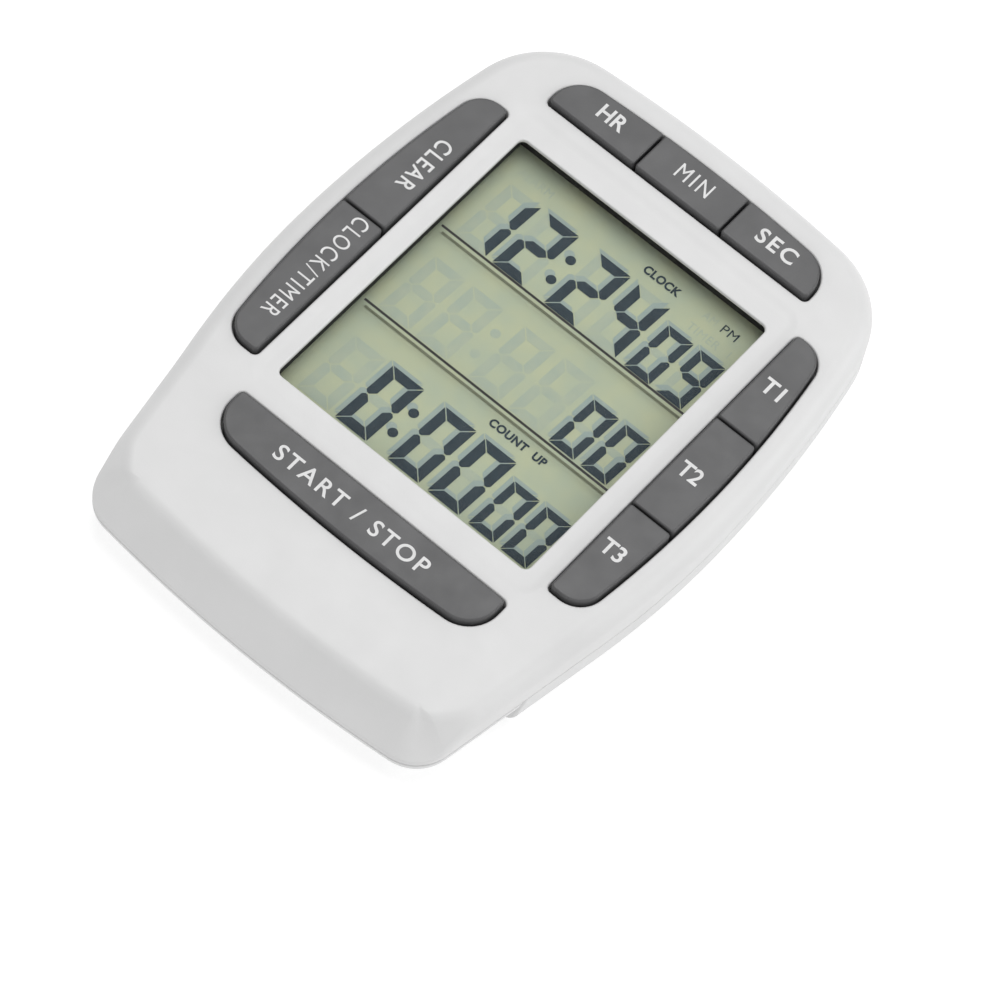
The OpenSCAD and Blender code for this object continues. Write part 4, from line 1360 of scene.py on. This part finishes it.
discs("lcd_colons", dots, 0, 0, GROUND_Z + LIT_RISE, SEGMENT_ON)
# painted shade of the colon dots, moved the same way as the bars' painted shade
discs("lcd_colon_shade", dots, *SHADE_SHIFT, GROUND_Z + SHADE_RISE, SEGMENT_SHADE)
discs("lcd_ghost_colon", [(-4.5, 0.3), (-4.5, -3.5)], 0, 0, GROUND_Z + GHOST_RISE, SEGMENT_OFF)


def display_label(name, words, at, cap_height, width, finish_with, rise):
    """A word on the glass. Only words without an M are made heavier, since its strokes would cross."""
    place_at = (at[0] + GLASS_SHIFT[0], at[1] + GLASS_SHIFT[1])
    lettering(name, words, place_at, cap_height, width, GROUND_Z + rise, finish_with, "root",
              weight=0.0 if "M" in words else 0.04, thick=LAYER_T, spacing=1.08)


for pattern in list(shapes.objects):
    bpy.data.objects.remove(pattern)
bpy.data.collections.remove(shapes)

for label in [
    ("lcd_word_clock", "CLOCK", (5.45, 19.9), 1.25, 5.5, SEGMENT_ON, LIT_RISE),
    ("lcd_word_pm", "PM", (16.05, 19.9), 1.25, 2.3, SEGMENT_ON, LIT_RISE),
    ("lcd_word_count_up", "COUNT  UP", (7.1, -9.25), 1.2, 8.6, SEGMENT_ON, LIT_RISE),
    ("lcd_ghost_timer", "TIMER  1", (14.75, 17.45), 1.15, 6.4, SEGMENT_OFF, GHOST_RISE),
    ("lcd_ghost_am", "AM", (13.0, 19.9), 1.2, 2.0, SEGMENT_OFF, GHOST_RISE),
    ("lcd_ghost_alarm", "ALARM", (-14.6, 19.9), 1.2, 5.2, SEGMENT_OFF, GHOST_RISE),
]:
    display_label(*label)
print("display words are in place")

# %% [markdown]
# The ground and the glass are plain sheets with cut edges. Each is a closed slab whose edges are
# ground off by a tenth of a millimetre, which is how cut glass is made safe to handle.

# %% Ground, glass, lens and frame


def slab(name, box, z0, z1, finish_with, chamfer=0.1):
    """A closed sheet with slightly broken edges. box is x0, x1, y0, y1."""
    x0, x1, y0, y1 = box
    shell = Shell()
    rings = []
    for s, z in [(chamfer, z0), (0, z0 + chamfer), (0, z1 - chamfer), (chamfer, z1)]:
        corners = [(x0 + s, y0 + s), (x1 - s, y0 + s), (x1 - s, y1 - s), (x0 + s, y1 - s)]
        rings.append(shell.ring(corners, z))
    shell.bands(rings)
    shell.faces += [tuple(reversed(rings[0])), tuple(rings[-1])]
    return piece(name, shell.points, shell.faces, finish_with, "root")


def flat_box(node):
    low, high = box_mm(node)
    return low.x, high.x, low.y, high.y


reflector_low = box_mm("lcd_reflector")[0]
lens_low, lens_high = box_mm("window_lens")
polariser_high = box_mm("lcd_polariser")[1]
ground = slab("lcd_ground", flat_box("lcd_front_glass"), reflector_low.z, GROUND_Z, GROUND)
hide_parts("lcd_reflector", "lcd_rear_glass")
glass = slab("lcd_glass", flat_box("lcd_polariser"), GLASS_Z + 0.02, polariser_high.z, CELL_GLASS)
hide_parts("lcd_front_glass", "lcd_polariser")
lens = slab("window_pane", flat_box("window_lens"), lens_low.z, lens_high.z, ACRYLIC, 0.12)
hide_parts("window_lens")

# %% [markdown]
# Two black rules are printed on the lens, between the rows. They stand clear above the ground, so
# each one has a softer line of shade beside it on the film, which is painted there as a thin dark strip.

# %% Rules on the lens
RULES = (7.25, -7.0)
RULE_W, RULE_SHADE_W = 0.34, 0.34
SHADE_DROP = 0.65
for number, y in enumerate(RULES, 1):
    slab(f"lens_rule_{number}", (-18.95, 19.15, y + WINDOW_MID - RULE_W / 2, y + WINDOW_MID + RULE_W / 2),
         lens_high.z, lens_high.z + 0.02, RULE_INK, 0.004)
    # painted shade: a thin dark strip on the film where the rule's shadow falls
    shade_y = y - SHADE_DROP + GLASS_SHIFT[1]
    slab(f"lens_rule_shade_{number}",
         (-18.4 + GLASS_SHIFT[0], 19.4 + GLASS_SHIFT[0],
          shade_y - RULE_SHADE_W / 2, shade_y + RULE_SHADE_W / 2),
         GROUND_Z + 0.05, GROUND_Z + 0.056, RULE_SHADE, 0.001)

# %% [markdown]
# The black frame round the display is what shows as the dark inner walls of the window. Its shape
# in the engineering model is right but sharp, so a copy is cleaned up and its edges are broken with
# a Bevel. The same is done to the stand and the magnets.


# %% Soft-edged copies of engineering parts
def soft_copy(node, name, finish_with, body, width, segments=3):
    """A cleaned copy of a CAD node with its edges rounded, which stands for the node."""
    made = linked(name, frame["nodes"][node].data.copy())
    weld = made.modifiers.new("weld", "WELD")
    weld.merge_threshold = 0.002 * MM
    plane = made.modifiers.new("plane faces", "DECIMATE")
    plane.decimate_type = "DISSOLVE"
    plane.angle_limit = math.radians(1.0)
    rounding = made.modifiers.new("broken edges", "BEVEL")
    rounding.width = width * MM
    rounding.segments = segments
    rounding.limit_method = "ANGLE"
    rounding.angle_limit = math.radians(40)
    rounding.harden_normals = True
    final = made_plain(made)
    final.materials.clear()
    final.materials.append(finish_with)
    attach(made, body)
    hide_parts(node)
    print(name, "faces:", len(final.polygons))
    return made


soft_copy("lcd_frame", "display_frame", BLACK_ABS, "root", 0.06, 2)
soft_copy("stand", "stand_leaf", WHITE_ABS, "stand", 0.25, 4)
soft_copy("magnets", "magnet_discs", MAGNET, "root", 0.15)

# %% [markdown]
# ## Screws and springs
# Four cross-head screws hold the shells together. They are alike, so one head is lathed and placed
# on four points by a tree. The buzzer is reached by two small coil springs, which are helices swept
# with a round wire.

# %% Screws
SCREW_HEAD_Z = 0.7
screw_tip = box_mm("case_screws")[1].z


def lathed(profile):
    """Rings of a turned solid, from (radius, height) pairs, with its two ends left open."""
    shell = Shell()
    rings = [shell.ring(circle(0, 0, r, 32), z) for r, z in profile]
    shell.bands(rings)
    return shell, rings


def loose(shell, name):
    """A mesh object that only serves as a pattern for copies."""
    return linked(name, mesh_of(name, shell.points, [], shell.faces))


profile = [(1.25, -0.1), (1.5, -0.03), (1.7, 0.12), (1.8, 0.35), (1.8, 1.0), (1.6, 1.2), (0.8, 1.25)]
THREAD_PITCH = 0.7
z = 1.4
while z < screw_tip - SCREW_HEAD_Z - 0.9:
    profile += [(0.62, z), (0.8, z + THREAD_PITCH / 2)]
    z += THREAD_PITCH
profile += [(0.62, z), (0.35, screw_tip - SCREW_HEAD_Z)]
screw_shell, rings = lathed(profile)
screw_shell.faces.append(tuple(rings[-1]))
CROSS_LONG, CROSS_SHORT, CROSS_DEPTH = 0.98, 0.2, 0.6


def cross_outline(scale):
    a, b = CROSS_LONG * scale, CROSS_SHORT * scale
    corner = [(a, b), (b, b), (b, a)]
    points = []
    for quarter in range(4):
        turn = Matrix.Rotation(quarter * math.pi / 2, 2)
        points += [tuple(turn @ Vector(p)) for p in corner]
    return points


mouth, roof = well(screw_shell, [(cross_outline(1), -0.1), (cross_outline(0.7), -0.1 + CROSS_DEPTH)])
screw_shell.fill(rings[0], [mouth], (), -0.1, up=False)
screw_shell.fill(roof, (), (), CROSS_DEPTH - 0.1, up=False)
screw = loose(screw_shell, "one_screw")

place_tree, inlet = tree_with_inputs("one on each point", [
    ("Part", "NodeSocketObject"), ("Turn", "NodeSocketFloat")])
part_info = add(place_tree, "GeometryNodeObjectInfo", {"Object": inlet["Part"], "As Instance": True})
number = add(place_tree, "GeometryNodeInputIndex")
turned = add(place_tree, "ShaderNodeMath", {0: number.outputs[0], 1: inlet["Turn"]}, operation="MULTIPLY")
turn_vector = add(place_tree, "ShaderNodeCombineXYZ", {"Z": turned.outputs[0]})
copies = add(place_tree, "GeometryNodeInstanceOnPoints", {
    "Points": inlet["Geometry"], "Instance": part_info.outputs["Geometry"], "Rotation": turn_vector.outputs[0]})
end_tree(place_tree, copies.outputs[0], ZINC)
screws = run_tree(place_tree, "case_screw_set", {"Part": screw, "Turn": 1.1},
                  [(x, y, SCREW_HEAD_Z) for x, y in SCREW_PLACES])
bpy.data.objects.remove(screw)
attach(screws, "root")
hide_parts("case_screws")

# %% Coil springs
spring_tree, inlet = tree_with_inputs("coil spring", [
    ("Turns", "NodeSocketFloat"), ("Radius", "NodeSocketFloat"), ("Wire", "NodeSocketFloat"),
    ("Height", "NodeSocketFloat")])
helix = add(spring_tree, "GeometryNodeCurveSpiral", {
    "Resolution": 20, "Rotations": inlet["Turns"], "Start Radius": inlet["Radius"],
    "End Radius": inlet["Radius"], "Height": inlet["Height"]})
wire = add(spring_tree, "GeometryNodeCurvePrimitiveCircle", {"Resolution": 8, "Radius": inlet["Wire"]})
coil = add(spring_tree, "GeometryNodeCurveToMesh", {
    "Curve": helix.outputs[0], "Profile Curve": wire.outputs[0], "Fill Caps": True})
coils = add(spring_tree, "GeometryNodeInstanceOnPoints", {
    "Points": inlet["Geometry"], "Instance": coil.outputs[0]})
end_tree(spring_tree, coils.outputs[0], NICKEL)
spring_low, spring_high = box_mm("buzzer_springs")
SPRING_R, SPRING_WIRE, SPRING_TURNS = 0.68, 0.1, 4.0
springs = run_tree(spring_tree, "buzzer_coils", {
    "Turns": SPRING_TURNS, "Radius": SPRING_R * MM, "Wire": SPRING_WIRE * MM,
    "Height": (spring_high.z - spring_low.z - 0.35) * MM},
    [(BUZZER[0] - 1.5, BUZZER[1], spring_low.z + 0.25), (BUZZER[0] + 5.2, BUZZER[1], spring_low.z + 0.15)])
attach(springs, "root")
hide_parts("buzzer_springs")

# %% Bosses inside the front shell
BOSS_T = CEILING_Z + 0.2 - PARTING_Z
boss_shell, rings = lathed([(2.1, 0), (2.3, 0.2), (2.3, BOSS_T), (0.8, BOSS_T), (0.8, 0)])
boss_shell.band(rings[-1], rings[0])
boss = loose(boss_shell, "one_boss")
boss_tree, inlet = tree_with_inputs("bosses", [("Part", "NodeSocketObject")])
boss_info = add(boss_tree, "GeometryNodeObjectInfo", {"Object": inlet["Part"], "As Instance": True})
copies = add(boss_tree, "GeometryNodeInstanceOnPoints", {
    "Points": inlet["Geometry"], "Instance": boss_info.outputs["Geometry"]})
end_tree(boss_tree, copies.outputs[0], WHITE_ABS)
bosses = run_tree(boss_tree, "front_bosses", {"Part": boss},
                  [(x, y, PARTING_Z + 0.05) for x, y in SCREW_PLACES])
bpy.data.objects.remove(boss)
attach(bosses, "root")

# %% [markdown]
# ## The room
# The timer lies on a plain pale floor. The light is a soft studio set: a wide panel overhead, one
# at the right that lights the far rims, a weak one in front and a pale world. The floor glows a
# little, like a light table, so that the timer throws hardly any shadow.

# %% Floor, lights and world
floor_material, tree = material("pale studio floor")
shader = add(tree, "ShaderNodeBsdfPrincipled", {
    "Base Color": mottled(tree, 400, "bcbcbc", "b9b9b9"), "Roughness": 0.9,
    "Emission Color": colour("ffffff"), "Emission Strength": 0.62})
finish(tree, shader)
FLOOR_HALF = 1.5
FLOOR_Z = -0.05 * MM
floor_mesh = bpy.data.meshes.new("floor")
FLOOR_CORNERS = [(-1, -1), (1, -1), (1, 1), (-1, 1)]
floor_mesh.from_pydata([(x * FLOOR_HALF, y * FLOOR_HALF, FLOOR_Z) for x, y in FLOOR_CORNERS],
                       [], [(0, 1, 2, 3)])
floor_mesh.materials.append(floor_material)
floor = linked("floor", floor_mesh)


def panel(name, place, size, watts):
    """A square area light that faces the middle of the timer."""
    light = bpy.data.lights.new(name, "AREA")
    light.shape = "SQUARE"
    light.size = size
    light.energy = watts
    made = linked(name, light)
    made.location = place
    made.rotation_euler = Vector(place).to_track_quat("Z", "Y").to_euler()


panel("overhead panel", (-0.1, 0.3, 0.9), 0.7, 4.3)
panel("side panel", (0.75, 0.5, 0.4), 0.5, 2.2)
panel("front fill", (0.35, -0.7, 0.5), 0.5, 0.95)
world = bpy.data.worlds.new("pale room")
world.use_nodes = True
world.node_tree.nodes.clear()
sky = add(world.node_tree, "ShaderNodeBackground", {"Color": colour("ffffff"), "Strength": 0.55})
add(world.node_tree, "ShaderNodeOutputWorld", {"Surface": sky.outputs[0]})
bpy.context.scene.world = world
